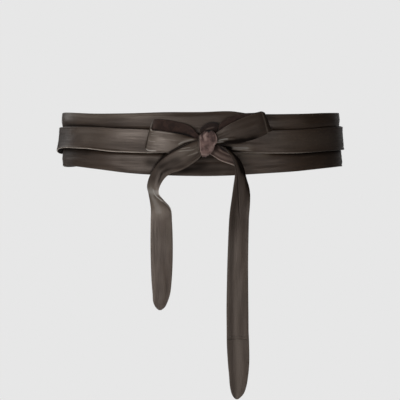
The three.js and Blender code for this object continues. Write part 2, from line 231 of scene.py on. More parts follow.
RIGHT_LOOP_ROWS = tuple(
    StripRow(*row)
    for row in (
        (0.3, 7.75, 5.8, 0.3, 7.75, -5.7, 0.0),
        (9.1, 7.9, 9.6, 11.0, 7.65, -3.4, 0.0),
        (11.0, 7.5, 18.6, 19.0, 6.6, 0.2, -0.2),
        (19.8, 5.9, 24.6, 30.0, 5.2, 4.6, -0.3),
        (32.0, 4.4, 28.6, 41.0, 3.8, 8.4, -0.3),
        (44.6, 3.2, 29.6, 52.4, 2.2, 11.6, -0.2),
        (50.4, 2.9, 30.8, 58.0, 1.8, 13.2, 0.0),
        (52.4, 4.2, 30.0, 59.8, 3.2, 12.8, 0.0),
        (53.0, 6.0, 29.4, 59.6, 4.8, 12.0, 0.0),
        (51.6, 7.9, 29.7, 57.0, 6.8, 10.6, 0.6),
        (44.6, 11.0, 28.3, 48.6, 10.0, 6.2, 1.5),
        (33.0, 12.4, 24.5, 38.0, 11.8, 2.7, 1.9),
        (20.7, 12.5, 18.6, 27.0, 11.9, 0.4, 1.6),
        (10.8, 11.6, 12.6, 15.6, 12.0, -0.3, 0.6),
        (0.4, 10.95, 5.0, 0.4, 10.95, -3.4, 0.0),
    )
)

LEFT_TAIL_ROWS = tuple(
    StripRow(*row)
    for row in (
        (1.5, 12.6, 4.4, 0.5, 12.6, -5.6, 0.0),
        (-6.0, 12.6, 4.2, -4.6, 12.5, -9.4, 0.0),
        (-12.2, 13.4, 3.2, -9.6, 12.9, -14.7, 0.4),
        (-25.4, 14.3, -3.0, -17.9, 14.2, -20.8, 1.5),
        (-38.5, 12.8, -10.2, -26.8, 14.2, -25.5, 1.8),
        (-48.4, 10.6, -19.2, -34.8, 14.0, -27.9, 1.8),
        (-54.6, 7.6, -30.2, -41.1, 14.0, -33.0, 1.8),
        (-56.9, 5.0, -39.6, -45.8, 14.5, -41.5, 1.8),
        (-55.5, 4.5, -47.1, -46.2, 14.0, -47.1, 1.4),
        (-54.4, 5.4, -54.5, -41.5, 13.2, -53.0, 1.2),
        (-53.8, 6.4, -62.0, -35.3, 11.6, -60.5, 1.0),
        (-54.0, 7.0, -74.0, -33.8, 10.6, -74.0, 0.8),
        (-54.0, 7.0, -103.6, -33.1, 10.0, -103.6, 0.7),
        (-53.2, 6.4, -128.0, -34.1, 9.2, -128.0, 0.6),
        (-52.2, 6.0, -141.0, -35.6, 8.4, -141.0, 0.4),
        (-51.6, 6.1, -148.9, -38.1, 8.0, -148.9, 0.3),
        (-49.2, 6.4, -154.0, -41.0, 7.6, -154.2, 0.1),
        (-46.4, 6.8, -156.6, -44.2, 7.1, -156.6, 0.0),
    )
)

RIGHT_TAIL_ROWS = tuple(
    StripRow(*row)
    for row in (
        (-1.0, 9.35, 2.0, -1.6, 9.35, -8.2, 0.0),
        (5.0, 9.35, 1.2, 3.8, 9.35, -10.8, 0.0),
        (10.0, 9.4, -0.8, 12.2, 9.1, -16.0, 0.0),
        (11.8, 9.6, -1.9, 24.5, 8.2, -20.4, 1.7),
        (14.2, 11.6, -3.4, 33.2, 6.4, -24.9, 3.6),
        (17.4, 14.6, -6.3, 34.8, 6.0, -29.8, 4.2),
        (21.4, 15.2, -11.9, 36.2, 6.8, -35.0, 3.2),
        (24.3, 15.0, -18.0, 38.0, 7.8, -40.0, 1.8),
        (25.2, 13.8, -28.7, 39.3, 9.6, -46.5, 0.8),
        (23.9, 12.3, -39.0, 39.6, 11.6, -53.6, -0.2),
        (22.0, 11.0, -52.8, 39.2, 12.2, -61.0, -0.4),
        (20.5, 9.9, -64.1, 38.6, 12.2, -67.5, -0.3),
        (19.6, 9.2, -76.0, 38.3, 11.8, -76.5, 0.0),
        (18.3, 8.2, -109.2, 37.8, 11.0, -109.2, 0.5),
        (17.5, 7.2, -148.8, 38.0, 10.0, -148.8, 0.6),
        (17.6, 6.7, -184.0, 38.3, 9.5, -184.0, 0.6),
    )
)

RIGHT_TAIL_TIP_ROWS = tuple(
    StripRow(*row)
    for row in (
        (17.9, 5.2, -175.5, 38.2, 8.0, -175.5, 0.6),
        (17.7, 5.0, -186.5, 38.7, 7.8, -186.5, 0.6),
        (18.7, 5.4, -205.4, 38.9, 7.9, -205.4, 0.6),
        (19.8, 5.8, -218.0, 37.9, 7.9, -218.0, 0.5),
        (20.7, 6.0, -228.6, 36.1, 7.8, -228.6, 0.3),
        (22.4, 6.3, -235.6, 33.4, 7.6, -235.6, 0.1),
        (24.8, 6.6, -239.4, 29.8, 7.4, -239.4, 0.0),
        (26.6, 6.9, -240.6, 28.0, 7.1, -240.6, 0.0),
    )
)

HALF_KNOT_ROWS = tuple(
    StripRow(*row)
    for row in (
        (-5.6, 1.1, -11.0, 5.8, 1.1, -11.0, 0.0),
        (-6.4, 1.1, 2.0, 6.6, 1.1, 2.0, 0.0),
        (-6.8, 1.1, 6.0, 7.6, 1.1, 8.0, 0.0),
        (-6.9, 2.5, 11.0, 8.6, 2.9, 16.0, 0.2),
        (-6.9, 4.0, 13.2, 9.6, 4.3, 19.0, 3.4),
        (-6.9, 5.2, 12.0, 9.5, 6.0, 16.8, 2.6),
        (-6.6, 4.7, 9.6, 8.2, 4.8, 12.0, 0.0),
        (-6.4, 4.5, 6.0, 6.6, 4.5, 6.0, 0.0),
        (-5.6, 4.5, -11.0, 5.8, 4.5, -11.0, 0.0),
    )
)

WRAP_ROWS = tuple(
    WrapRow(*row)
    for row in (
        (-11.6, 5.6, -1.6),
        (-10.2, 6.9, 0.6),
        (-7.8, 8.2, 3.4),
        (-5.6, 8.9, 5.2),
        (-3.0, 9.3, 6.0),
        (-0.6, 9.5, 6.5),
        (0.6, 9.5, 8.4),
        (4.0, 9.3, 8.6),
        (7.6, 8.4, 7.8),
        (9.6, 5.6, 6.6),
        (11.6, 3.4, 4.8),
    )
)


# Curves


# The curve through points steps by the square root of each distance, which is this power of its square.
STEP_POWER = 0.25

# What is divided by is kept above these, so that points in one place do no harm.
LEAST_STEP = 1e-4
LEAST_LENGTH = 1e-9
LEAST_HALF_WIDTH = 1e-6
LEAST_SPAN = 1e-3


def smooth(places: np.ndarray, values: np.ndarray, at: np.ndarray) -> np.ndarray:
    """Reads a smooth curve through values given at rising places.

    Args:
        places: Where the values are given.
        values: The values there.
        at: Where the curve is read.

    Returns:
        The curve's values.
    """
    slopes = np.empty_like(values)
    slopes[1:-1] = (values[2:] - values[:-2]) / (places[2:] - places[:-2])
    slopes[0] = (values[1] - values[0]) / (places[1] - places[0])
    slopes[-1] = (values[-1] - values[-2]) / (places[-1] - places[-2])
    i = np.clip(np.searchsorted(places, at) - 1, 0, len(places) - 2)
    step = places[i + 1] - places[i]
    t = (at - places[i]) / step
    return (
        (2 * t**3 - 3 * t**2 + 1) * values[i]
        + (t**3 - 2 * t**2 + t) * step * slopes[i]
        + (3 * t**2 - 2 * t**3) * values[i + 1]
        + (t**3 - t**2) * step * slopes[i + 1]
    )


def through(points: np.ndarray, at: np.ndarray) -> np.ndarray:
    """Reads a smooth curve through a row of points, one that doesn't overshoot where they lie close.

    Args:
        points: The points, one to a row.
        at: Where the curve is read, from 0 at the first point to 1 at the last.

    Returns:
        The curve's points, with a last axis of 3 added to the shape of at.
    """
    ends = (2 * points[0] - points[1], 2 * points[-1] - points[-2])
    padded = np.vstack([ends[0], points, ends[1]])
    place = at * (len(points) - 1)
    i = np.clip(np.floor(place).astype(int), 0, len(points) - 2)
    t = (place - i)[..., None]
    p0, p1, p2, p3 = (padded[i + k] for k in range(4))
    d0, d1, d2 = (
        np.maximum(((b - a) ** 2).sum(-1, keepdims=True) ** STEP_POWER, LEAST_STEP)
        for a, b in ((p0, p1), (p1, p2), (p2, p3))
    )
    m1 = ((p1 - p0) / d0 - (p2 - p0) / (d0 + d1) + (p2 - p1) / d1) * d1
    m2 = ((p2 - p1) / d1 - (p3 - p1) / (d1 + d2) + (p3 - p2) / d2) * d1
    return (
        p1
        + m1 * t
        + (3 * (p2 - p1) - 2 * m1 - m2) * t**2
        + (2 * (p1 - p2) + m1 + m2) * t**3
    )


def unit(vectors: np.ndarray) -> np.ndarray:
    """Vectors made one long."""
    return vectors / np.maximum(np.linalg.norm(vectors, axis=-1, keepdims=True), LEAST_LENGTH)


def column(rows: Sequence[NamedTuple], name: str) -> np.ndarray:
    """One named column of a table."""
    return np.array([getattr(row, name) for row in rows], float)


@dataclass(frozen=True)
class WaistLine:
    """The closed line round the waist that the middle of the panel's leather follows.

    Attributes:
        half_width: Half its width.
        half_depth: Half its depth from front to back.
        squareness: 2 for an ellipse, and more for an oval that is fuller between its sides.
        steps: How many straight steps it is measured in.
    """

    half_width: float = 135.0
    half_depth: float = 93.0
    squareness: float = 2.3
    steps: int = 1440

    def point(self, along: np.ndarray, offset: np.ndarray, height: np.ndarray) -> np.ndarray:
        """Finds points by their length along the waist line.

        Args:
            along: Length from the front centre, positive to the right.
            offset: How far outside the line.
            height: How high.

        Returns:
            The points, with a last axis of 3.
        """
        angle = np.linspace(0, 2 * np.pi, self.steps + 1)
        across = np.abs(np.sin(angle) / self.half_width) ** self.squareness
        deep = np.abs(np.cos(angle) / self.half_depth) ** self.squareness
        radius = (across + deep) ** (-1 / self.squareness)
        x = radius * np.sin(angle)
        y = -radius * np.cos(angle)
        lengths = np.concatenate([[0], np.cumsum(np.hypot(np.diff(x), np.diff(y)))])
        place = np.mod(along, lengths[-1])
        px = np.interp(place, lengths, x)
        py = np.interp(place, lengths, y)
        power = self.squareness - 1
        out_x = np.sign(px) * np.abs(px / self.half_width) ** power / self.half_width
        out_y = np.sign(py) * np.abs(py / self.half_depth) ** power / self.half_depth
        size = np.hypot(out_x, out_y)
        height = np.broadcast_to(height, px.shape)
        return np.stack([px + offset * out_x / size, py + offset * out_y / size, height], axis=-1)


WAIST = WaistLine()
PANEL_THICKNESS = 1.4
TIE_THICKNESS = 1.3
KNOT = np.array([6.1, -(WAIST.half_depth + PANEL_THICKNESS / 2), -5.8])


# Relief of the leather: folds, gathers and creases that move both of its sides


@dataclass(frozen=True)
class Hide:
    """Where the points of a piece lie on the flat strip that it was cut as.

    Attributes:
        along: Length from the piece's start.
        across: Length from its middle line, positive towards its second edge.
        share: The same place across as a share of the half width, from -1 to 1.
        length: The piece's whole length.
    """

    along: np.ndarray
    across: np.ndarray
    share: np.ndarray
    length: float


@dataclass(frozen=True)
class Waves:
    """Soft unevenness, the sum of waves that run every way.

    Attributes:
        seed: Sets how the waves lie.
        depth: The height of the unevenness.
        length: The size of its swells along the piece.
        width: Their size across it.
        count: How many waves are summed.
        coarsest: How many swells the coarsest wave makes over its stretch.
        finest: How many the finest makes.
        stretch: That stretch, in sizes of a swell.
    """

    seed: int
    depth: float
    length: float
    width: float
    count: int = 28
    coarsest: float = 0.6
    finest: float = 1.5
    stretch: float = 1.6

    def height(self, hide: Hide) -> np.ndarray:
        """Works out the unevenness over a hide.

        Args:
            hide: The hide.

        Returns:
            Its height at each point.
        """
        rng = np.random.default_rng(self.seed)
        total = np.zeros_like(hide.along)
        for _ in range(self.count):
            turn, phase = rng.uniform(0, 2 * np.pi, 2)
            swells = rng.uniform(self.coarsest, self.finest)
            onward = np.cos(turn) * hide.along / self.length
            sideways = np.sin(turn) * hide.across / self.width
            total += np.cos(2 * np.pi * swells * (onward + sideways) / self.stretch + phase)
        return self.depth * total * math.sqrt(2 / self.count)


@dataclass(frozen=True)
class Gathers:
    """Pleats that run out from a gathered place and fade.

    Attributes:
        origin: The gathered place, as a share of the piece's length.
        reach: Length over which they fade.
        depth: Their height at the gathered place.
        count: How many pleats lie across the piece.
        seed: Sets how they wander.
        held: Length at the gathered place that the knot presses flat.
        rise: Length after that over which the pleats come up.
        bending: How quickly they bend, in radians over their reach.
        sway: How far they bend to the side, as a share of the half width.
        fullness: The power that makes their crests blunt where it is below 1.
        finer_count: How many finer pleats there are for each.
        finer_sway: How far these bend to the other side.
        finer_depth: Their height, as a share of the others'.
    """

    origin: float
    reach: float
    depth: float
    count: float
    seed: int
    held: float = 8.0
    rise: float = 4.0
    bending: float = 1.4
    sway: float = 0.07
    fullness: float = 0.8
    finer_count: float = 1.9
    finer_sway: float = 0.05
    finer_depth: float = 0.35

    def height(self, hide: Hide) -> np.ndarray:
        """Works out the pleats over a hide.

        Args:
            hide: The hide.

        Returns:
            Their height at each point.
        """
        rng = np.random.default_rng(self.seed)
        distance = np.abs(hide.along - self.origin * hide.length)
        fade = np.exp(-((distance / self.reach) ** 2))
        start = np.clip((distance - self.held) / self.rise, 0, 1)
        phase, wander, finer_phase = rng.uniform(0, 2 * np.pi, 3)
        bend = np.sin(distance / self.reach * self.bending + wander)
        pleats = np.sin(np.pi * self.count * (hide.share + self.sway * bend) + phase)
        finer_share = hide.share - self.finer_sway * bend
        finer = np.sin(np.pi * self.count * self.finer_count * finer_share + finer_phase)
        full = np.sign(pleats) * np.abs(pleats) ** self.fullness
        return self.depth * fade * start * (full + self.finer_depth * finer)


@dataclass(frozen=True)
class Line:
    """A straight line on the hide that fades over its width and towards its ends.

    Attributes:
        start: Its start, as (length along, share of the half width).
        end: Its end, likewise.
        width: Its half width.
        fade: The share of its length over which it fades at both ends.
        tip: How much is left at the very ends, before the fade is smoothed.
    """

    start: tuple[float, float]
    end: tuple[float, float]
    width: float
    fade: ClassVar[float] = 0.3
    tip: ClassVar[float] = 0.25

    def nearness(self, hide: Hide) -> np.ndarray:
        """Works out how near the points of a hide lie to the line.

        Args:
            hide: The hide.

        Returns:
            Their nearness, from 0 to 1.
        """
        half = np.max(np.abs(hide.across))
        ax, ay = self.start[0], self.start[1] * half
        bx, by = self.end[0], self.end[1] * half
        span = np.array([bx - ax, by - ay])
        length = float(np.hypot(*span))
        px = hide.along - ax
        py = hide.share * half - ay
        onward = (px * span[0] + py * span[1]) / length**2
        away = (px * span[1] - py * span[0]) / length
        ends = np.clip(np.minimum(onward, 1 - onward) / self.fade + self.tip, 0, 1)
        return ends**2 * (3 - 2 * ends) * np.exp(-((away / self.width) ** 2))


@dataclass(frozen=True)
class Crease(Line):
    """One straight fold line.

    Attributes:
        depth: Its height at the middle, below zero for a valley.
    """

    depth: float

    def height(self, hide: Hide) -> np.ndarray:
        """The height of the fold over the hide."""
        return self.depth * self.nearness(hide)


@dataclass(frozen=True)
class Mark(Line):
    """A line where the finish is made paler as a painted highlight, or darker as painted shade.

    Attributes:
        strength: How far it is changed at the middle. Where lines meet, the strongest highlight counts, and
        painted shade adds up. The whole is capped, so one line may go beyond the cap.
    """

    strength: float

    def amount(self, hide: Hide) -> np.ndarray:
        """How far the finish is changed over the hide."""
        return self.strength * self.nearness(hide)


def marks(*rows: tuple[tuple[float, float], tuple[float, float], float, float]) -> tuple[Mark, ...]:
    """Makes marks from rows of their start, end, half width and strength."""
    return tuple(Mark(*row) for row in rows)


@dataclass(frozen=True)
class Rim:
    """The line that a creasing iron presses along the cut edges: a groove with a fine ridge inside it.

    Attributes:
        inset: How far the groove lies from the edge.
        width: Its half width.
        depth: Its depth.
        ridge: How far from the groove the ridge lies, in half widths.
    """

    inset: float = 1.4
    width: float = 0.5
    depth: float = 0.14
    ridge: float = 1.4

    def height(self, hide: Hide) -> np.ndarray:
        """Works out the pressed line over a hide.

        Args:
            hide: The hide.

        Returns:
            Its height at each point.
        """
        half = np.abs(hide.across).max(axis=1, keepdims=True)
        away = (half - np.abs(hide.across) - self.inset) / self.width
        return self.depth * (np.exp(-((away - self.ridge) ** 2)) - np.exp(-(away**2)))


Relief = Waves | Gathers | Crease | Rim


# Finishes


# The most that the paleness from rubbing and painted highlight, and the painted shade, come to. Beyond 1
# the pale colour is painted highlight.
MOST_WEAR_AND_HIGHLIGHT = 2.0
MOST_PAINTED_SHADE = 1.0

# Nearly all values of a noise lie in this range, which is spread over the tones that the noise gives.
NOISE = {"From Min": 0.3, "From Max": 0.7}


def linear(hex_colour: str) -> tuple[float, float, float, float]:
    """Turns an sRGB colour to linear light, by the numbers that define sRGB.

    Args:
        hex_colour: The colour, such as "#4a3b30".

    Returns:
        Linear red, green and blue, and an alpha of 1.
    """
    parts = (int(hex_colour[i : i + 2], 16) / 255 for i in (1, 3, 5))
    red, green, blue = (c / 12.92 if c <= 0.04045 else ((c + 0.055) / 1.055) ** 2.4 for c in parts)
    return red, green, blue, 1.0


def add(
    tree: bpy.types.NodeTree,
    kind: str,
    settings: dict | None = None,
    links: dict | None = None,
) -> bpy.types.Node:
    """Adds a shader node to a tree.

    Args:
        tree: The node tree.
        kind: The node's type without its ShaderNode prefix.
        settings: Values by the name or number of an input, or by the name of a property.
        links: By the name or number of an input, the output socket that goes into it, or the node whose
            first output does.

    Returns:
        The node.
    """
    node = tree.nodes.new("ShaderNode" + kind)
    for name, value in (settings or {}).items():
        if isinstance(name, int) or name in node.inputs:
            node.inputs[name].default_value = value
        else:
            setattr(node, name, value)
    for name, source in (links or {}).items():
        socket = source.outputs[0] if isinstance(source, bpy.types.Node) else source
        tree.links.new(node.inputs[name], socket)
    return node


def blank(name: str) -> tuple[bpy.types.Material, bpy.types.NodeTree]:
    """Makes an empty material.

    Args:
        name: The material's name.

    Returns:
        The material and its node tree, without nodes.
    """
    material = bpy.data.materials.new(name)
    material.use_nodes = True
    material.node_tree.nodes.clear()
    return material, material.node_tree


@dataclass(frozen=True)
class SmoothGrain:
    """Nappa cowhide: drum-dyed, softened, and sprayed with a thin satin top coat.

    The dye lies deeper in the hide's hollows and is rubbed paler along ridges and cut edges, fine stretch
    lines run lengthwise, and the top coat gives a soft sheen that the pores break up. Highlights are also
    painted on as pale marks, and shade as dark marks without shine.
    """

    name: str = "nappa_cowhide_drum_dyed_satin_coated"
    hollow: str = "#1f150e"
    surface: str = "#34271d"
    rubbed_and_highlight: str = "#514840"
    # Where paleness goes beyond 1, this colour is painted highlight.
    painted_highlight_colour: str = "#a6a39e"
    highlight: str = "#fff0e6"
    roughness: float = 0.43
    roughness_spread: float = 0.18
    shine: float = 0.5
    ior: float = 1.5
    # Real pores lie 0.3 to 0.5 mm apart. They are drawn coarser, so that they show in the render.
    pore_spacing: float = 0.9
    pore_depth: float = 0.035
    # Stretch lines run for some centimetres, 1 to 2 mm apart.
    stretch_length: float = 30.0
    stretch_width: float = 1.6
    stretch_depth: float = 0.12
    # The dye is taken unevenly, in clouds of two or three centimetres.
    mottle_size: float = 26.0
    # The tones from the hollow's colour at 0 to the surface's at 1, and what lines and ridges add.
    mottle_tones: tuple[float, float] = (0.3, 0.7)
    line_tone: float = 0.3
    ridge_tone: float = 0.3
    # Ridges above this share of the highest are worn, and the highest shows this much of the rubbed colour.
    ridge_wear_from: float = 0.35
    ridge_wear: float = 0.5
    # Painted shade: folds, gaps and leather under other pieces are coloured dark, with little shine.
    painted_shade_colour: str = "#0d0907"
    painted_shade_shine: float = 0.06
    painted_shade_roughness: float = 0.65

    def material(self) -> bpy.types.Material:
        """Builds the finish.

        Returns:
            The material.
        """
        material, tree = blank(self.name)
        hide = add(tree, "Attribute", {"attribute_name": "hide"}).outputs["Vector"]
        wear_and_highlight, relief, painted_shade = (
            add(tree, "Attribute", {"attribute_name": name}).outputs["Fac"]
            for name in ("wear_and_highlight", "relief", "painted_shade")
        )
        drawn = (1 / self.stretch_length, 1 / self.stretch_width, 1)
        stretched = add(tree, "Mapping", {"Scale": drawn}, {"Vector": hide})
        lines = add(tree, "TexNoise", {"Scale": 1.0, "Detail": 4.0, "Roughness": 0.62}, {0: stretched})
        mottle = add(tree, "TexNoise", {"Scale": 1 / self.mottle_size, "Detail": 3.0}, {0: hide})
        pores = add(
            tree,
            "TexVoronoi",
            {"feature": "SMOOTH_F1", "Scale": 1 / self.pore_spacing},
            {0: hide},
        )
        ridge = add(
            tree,
            "MapRange",
            {"From Min": -1.0, "From Max": 1.0, "To Min": -self.ridge_tone, "To Max": self.ridge_tone},
            {0: relief},
        )
        line_tone = add(
            tree,
            "MapRange",
            NOISE | {"To Min": -self.line_tone, "To Max": self.line_tone},
            {0: lines},
        )
        low, high = self.mottle_tones
        mottle_tone = add(tree, "MapRange", NOISE | {"To Min": low, "To Max": high}, {0: mottle})
        tone = add(tree, "Math", {"operation": "ADD"}, {0: mottle_tone, 1: line_tone})
        tone = add(tree, "Math", {"operation": "ADD", "use_clamp": True}, {0: tone, 1: ridge})
        colour = add(
            tree,
            "MixRGB",
            {"Color1": linear(self.hollow), "Color2": linear(self.surface)},
            {"Fac": tone},
        )
        ridge_wear = add(
            tree,
            "MapRange",
            {"From Min": self.ridge_wear_from, "From Max": 1.0, "To Max": self.ridge_wear},
            {0: relief},
        )
        worn = add(tree, "Math", {"operation": "MAXIMUM", "use_clamp": True}, {0: ridge_wear, 1: wear_and_highlight})
        painted_highlight_share = add(tree, "MapRange", {"From Min": 1.0, "From Max": MOST_WEAR_AND_HIGHLIGHT}, {0: wear_and_highlight})
        # The first pale colour mixes rubbing with painted highlight, the second is painted highlight, and
        # the dark colour is painted shade, which also loses shine and gets rougher below.
        for share, shade in ((worn, self.rubbed_and_highlight), (painted_highlight_share, self.painted_highlight_colour), (painted_shade, self.painted_shade_colour)):
            colour = add(tree, "MixRGB", {"Color2": linear(shade)}, {"Fac": share, "Color1": colour})
        shine = add(tree, "MapRange", {"To Min": self.shine, "To Max": self.painted_shade_shine}, {0: painted_shade})
        smoothest = self.roughness - self.roughness_spread / 2
        roughest = self.roughness + self.roughness_spread / 2
        rough = add(tree, "MapRange", NOISE | {"To Min": roughest, "To Max": smoothest}, {0: lines})
        rough = add(tree, "MapRange", {"To Max": self.painted_shade_roughness}, {0: painted_shade, "To Min": rough})
        line_bump = add(
            tree,
            "Bump",
            {"Strength": 1.0, "Distance": self.stretch_depth * MM},
            {"Height": lines},
        )
        pore_bump = add(
            tree,
            "Bump",
            {"Strength": 1.0, "Distance": self.pore_depth * MM},
            {"Height": pores.outputs["Distance"], "Normal": line_bump},
        )
        shader = add(
            tree,
            "BsdfPrincipled",
            {"IOR": self.ior, "Specular Tint": linear(self.highlight)},
            {"Base Color": colour, "Roughness": rough, "Specular IOR Level": shine, "Normal": pore_bump},
        )
        add(tree, "OutputMaterial", links={"Surface": shader})
        return material


@dataclass(frozen=True)
class FleshSide:
    """The flesh side of the same cowhide, shaved and buffed to a short nap.

    It takes the dye unevenly, has hardly any shine, and is paler and pinker where the nap stands up.
    """

    name: str = "cowhide_flesh_side_buffed"
    laid_nap: str = "#1e1512"
    raised_nap: str = "#382822"
    rubbed_and_highlight: str = "#86736a"
    roughness: float = 0.92
    shine: float = 0.25
    sheen: float = 0.06
    ior: float = 1.5
    # Real fibres are about 0.05 mm thick. Their tufts are drawn coarser, so that they show in the render.
    tuft_size: float = 0.7
    tuft_depth: float = 0.12
    # It takes the dye in patches of about 5 mm.
    patch_size: float = 5.0
    # The tones from the laid nap's colour at 0 to the raised nap's at 1, and what ridges and tufts add.
    patch_tones: tuple[float, float] = (0.1, 0.9)
    ridge_tone: float = 0.35
    tuft_tone: float = 0.2
    # Painted shade: folds and leather under other pieces are coloured dark.
    painted_shade_colour: str = "#0d0908"

    def material(self) -> bpy.types.Material:
        """Builds the finish.

        Returns:
            The material.
        """
        material, tree = blank(self.name)
        hide = add(tree, "Attribute", {"attribute_name": "hide"}).outputs["Vector"]
        relief, wear_and_highlight, painted_shade = (
            add(tree, "Attribute", {"attribute_name": name}).outputs["Fac"]
            for name in ("relief", "wear_and_highlight", "painted_shade")
        )
        tufts = add(
            tree,
            "TexNoise",
            {"Scale": 1 / self.tuft_size, "Detail": 5.0, "Roughness": 0.7},
            {0: hide},
        )
        patches = add(
            tree,
            "TexNoise",
            {"Scale": 1 / self.patch_size, "Detail": 4.0, "Distortion": 0.6},
            {0: hide},
        )
        ridge = add(
            tree,
            "MapRange",
            {"From Min": -1.0, "From Max": 1.0, "To Min": -self.ridge_tone, "To Max": self.ridge_tone},
            {0: relief},
        )
        low, high = self.patch_tones
        patch_tone = add(tree, "MapRange", NOISE | {"To Min": low, "To Max": high}, {0: patches})
        tone = add(tree, "Math", {"operation": "ADD"}, {0: patch_tone, 1: ridge})
        tuft_tone = add(
            tree,
            "MapRange",
            NOISE | {"To Min": -self.tuft_tone, "To Max": self.tuft_tone},
            {0: tufts},
        )
        tone = add(tree, "Math", {"operation": "ADD", "use_clamp": True}, {0: tone, 1: tuft_tone})
        colour = add(
            tree,
            "MixRGB",
            {"Color1": linear(self.laid_nap), "Color2": linear(self.raised_nap)},
            {"Fac": tone},
        )
        # The pale colour mixes rubbing with painted highlight, and the dark colour is painted shade.
        for share, shade in ((wear_and_highlight, self.rubbed_and_highlight), (painted_shade, self.painted_shade_colour)):
            colour = add(tree, "MixRGB", {"Color2": linear(shade)}, {"Fac": share, "Color1": colour})
        bump = add(tree, "Bump", {"Strength": 1.0, "Distance": self.tuft_depth * MM}, {"Height": tufts})
        shader = add(
            tree,
            "BsdfPrincipled",
            {
                "Roughness": self.roughness,
                "IOR": self.ior,
                "Sheen Weight": self.sheen,
                "Specular IOR Level": self.shine,
            },
            {"Base Color": colour, "Normal": bump},
        )
        add(tree, "OutputMaterial", links={"Surface": shader})
        return material


@dataclass(frozen=True)
class CutEdge:
    """The knife-cut edge of the hide, stained and rubbed with wax.

    The fibres of its middle take less dye than the faces, so it draws a thin paler line where the stain
    comes off with rubbing. That line is also painted brighter as a highlight where the edge catches the
    light.
    """

    name: str = "cowhide_cut_edge_waxed"
    dark: str = "#261d17"
    pale: str = "#b0a499"
    roughness: float = 0.5
    shine: float = 0.5
    ior: float = 1.5
    # The stain comes and goes with the bundles of fibres, over 2 to 3 mm.
    fibre_length: float = 2.4
    fibre_depth: float = 0.08
    # The least share of the pale colour that full rubbing and painted highlight bring out between the
    # fibres.
    least_tone: float = 0.5
    # Painted shade takes the shine off the edge.
    painted_shade_shine: float = 0.06

    def material(self) -> bpy.types.Material:
        """Builds the finish.

        Returns:
            The material.
        """
        material, tree = blank(self.name)
        hide = add(tree, "Attribute", {"attribute_name": "hide"}).outputs["Vector"]
        wear_and_highlight, painted_shade = (
            add(tree, "Attribute", {"attribute_name": name}).outputs["Fac"] for name in ("wear_and_highlight", "painted_shade")
        )
        fibres = add(
            tree,
            "TexNoise",
            {"Scale": 1 / self.fibre_length, "Detail": 5.0, "Roughness": 0.7},
            {0: hide},
        )
        tone = add(tree, "MapRange", NOISE | {"To Min": self.least_tone}, {0: fibres})
        tone = add(tree, "Math", {"operation": "MULTIPLY", "use_clamp": True}, {0: tone, 1: wear_and_highlight})
        colour = add(
            tree,
            "MixRGB",
            {"Color1": linear(self.dark), "Color2": linear(self.pale)},
            {"Fac": tone},
        )
        shine = add(tree, "MapRange", {"To Min": self.shine, "To Max": self.painted_shade_shine}, {0: painted_shade})
        bump = add(tree, "Bump", {"Strength": 1.0, "Distance": self.fibre_depth * MM}, {"Height": fibres})
        shader = add(
            tree,
            "BsdfPrincipled",
            {"Roughness": self.roughness, "IOR": self.ior},
            {"Base Color": colour, "Specular IOR Level": shine, "Normal": bump},
        )
        add(tree, "OutputMaterial", links={"Surface": shader})
        return material


@dataclass(frozen=True)
class Thread:
    """Bonded polyester sewing thread, twisted from three plies and waxed, in the leather's own tone.

    Its wax gives it a narrow sheen along its length, and its plies break that up.
    """

    name: str = "bonded_polyester_thread_waxed"
    shaded: str = "#1b1511"
    lit: str = "#453a31"
    roughness: float = 0.45
    ior: float = 1.55
    # Each of three plies in a thread of 0.6 mm is about 0.3 mm thick.
    ply_size: float = 0.35
    ply_depth: float = 0.05

    def material(self) -> bpy.types.Material:
        """Builds the finish.

        Returns:
            The material.
        """
        material, tree = blank(self.name)
        place = add(tree, "TexCoord").outputs["Object"]
        plies = add(tree, "TexNoise", {"Scale": 1 / (self.ply_size * MM), "Detail": 2.0}, {0: place})
        colour = add(
            tree,
            "MixRGB",
            {"Color1": linear(self.shaded), "Color2": linear(self.lit)},
            {"Fac": plies},
        )
        bump = add(tree, "Bump", {"Strength": 1.0, "Distance": self.ply_depth * MM}, {"Height": plies})
        shader = add(
            tree,
            "BsdfPrincipled",
            {"Roughness": self.roughness, "IOR": self.ior},
            {"Base Color": colour, "Normal": bump},
        )
        add(tree, "OutputMaterial", links={"Surface": shader})
        return material


class Finishes:
    """The finishes of the belt, each made once."""

    def __init__(self) -> None:
        """Makes the materials."""
        self.grain = SmoothGrain().material()
        self.flesh = FleshSide().material()
        # The knot wrap's copy is paler: partly a brushed-up nap, and partly painted light on the knot's
        # front.
        self.brushed_and_painted_lit_flesh = FleshSide(
            name="cowhide_flesh_side_brushed_up_painted_lit", laid_nap="#423230", raised_nap="#77605a", rubbed_and_highlight="#b59f96"
        ).material()
        self.edge = CutEdge().material()
        self.thread = Thread().material()


# Walls of leather


class Side(Enum):
    """A side of a wall. The plus side is the one that its onward and sideways directions turn to."""

    PLUS = 1
    MINUS = -1


class Face(IntEnum):
    """What a face of a wall belongs to."""

    PLUS = 0
    MINUS = 1
    BORDER = 2


class Finish(IntEnum):
    """The place of each finish among a piece's materials."""

    GRAIN = 0
    FLESH = 1
    EDGE = 2


class Held(Enum):
    """How a piece of leather is held in its shape."""

    STRETCHED = "stretched"
    FOLDED = "folded"
    HUNG = "hung"
    GATHERED = "gathered"


def form(name: str, points: np.ndarray, faces: list) -> bpy.types.Object:
    """Makes a smooth-shaded thing and adds it to the scene.

    Args:
        name: Its name.
        points: Its points.
        faces: For each face, the numbers of its points.

    Returns:
        The thing.
    """
    mesh = bpy.data.meshes.new(name)
    mesh.from_pydata((points * MM).tolist(), [], faces)
    mesh.polygons.foreach_set("use_smooth", np.ones(len(faces), bool))
    thing = bpy.data.objects.new(name, mesh)
    bpy.context.scene.collection.objects.link(thing)
    return thing


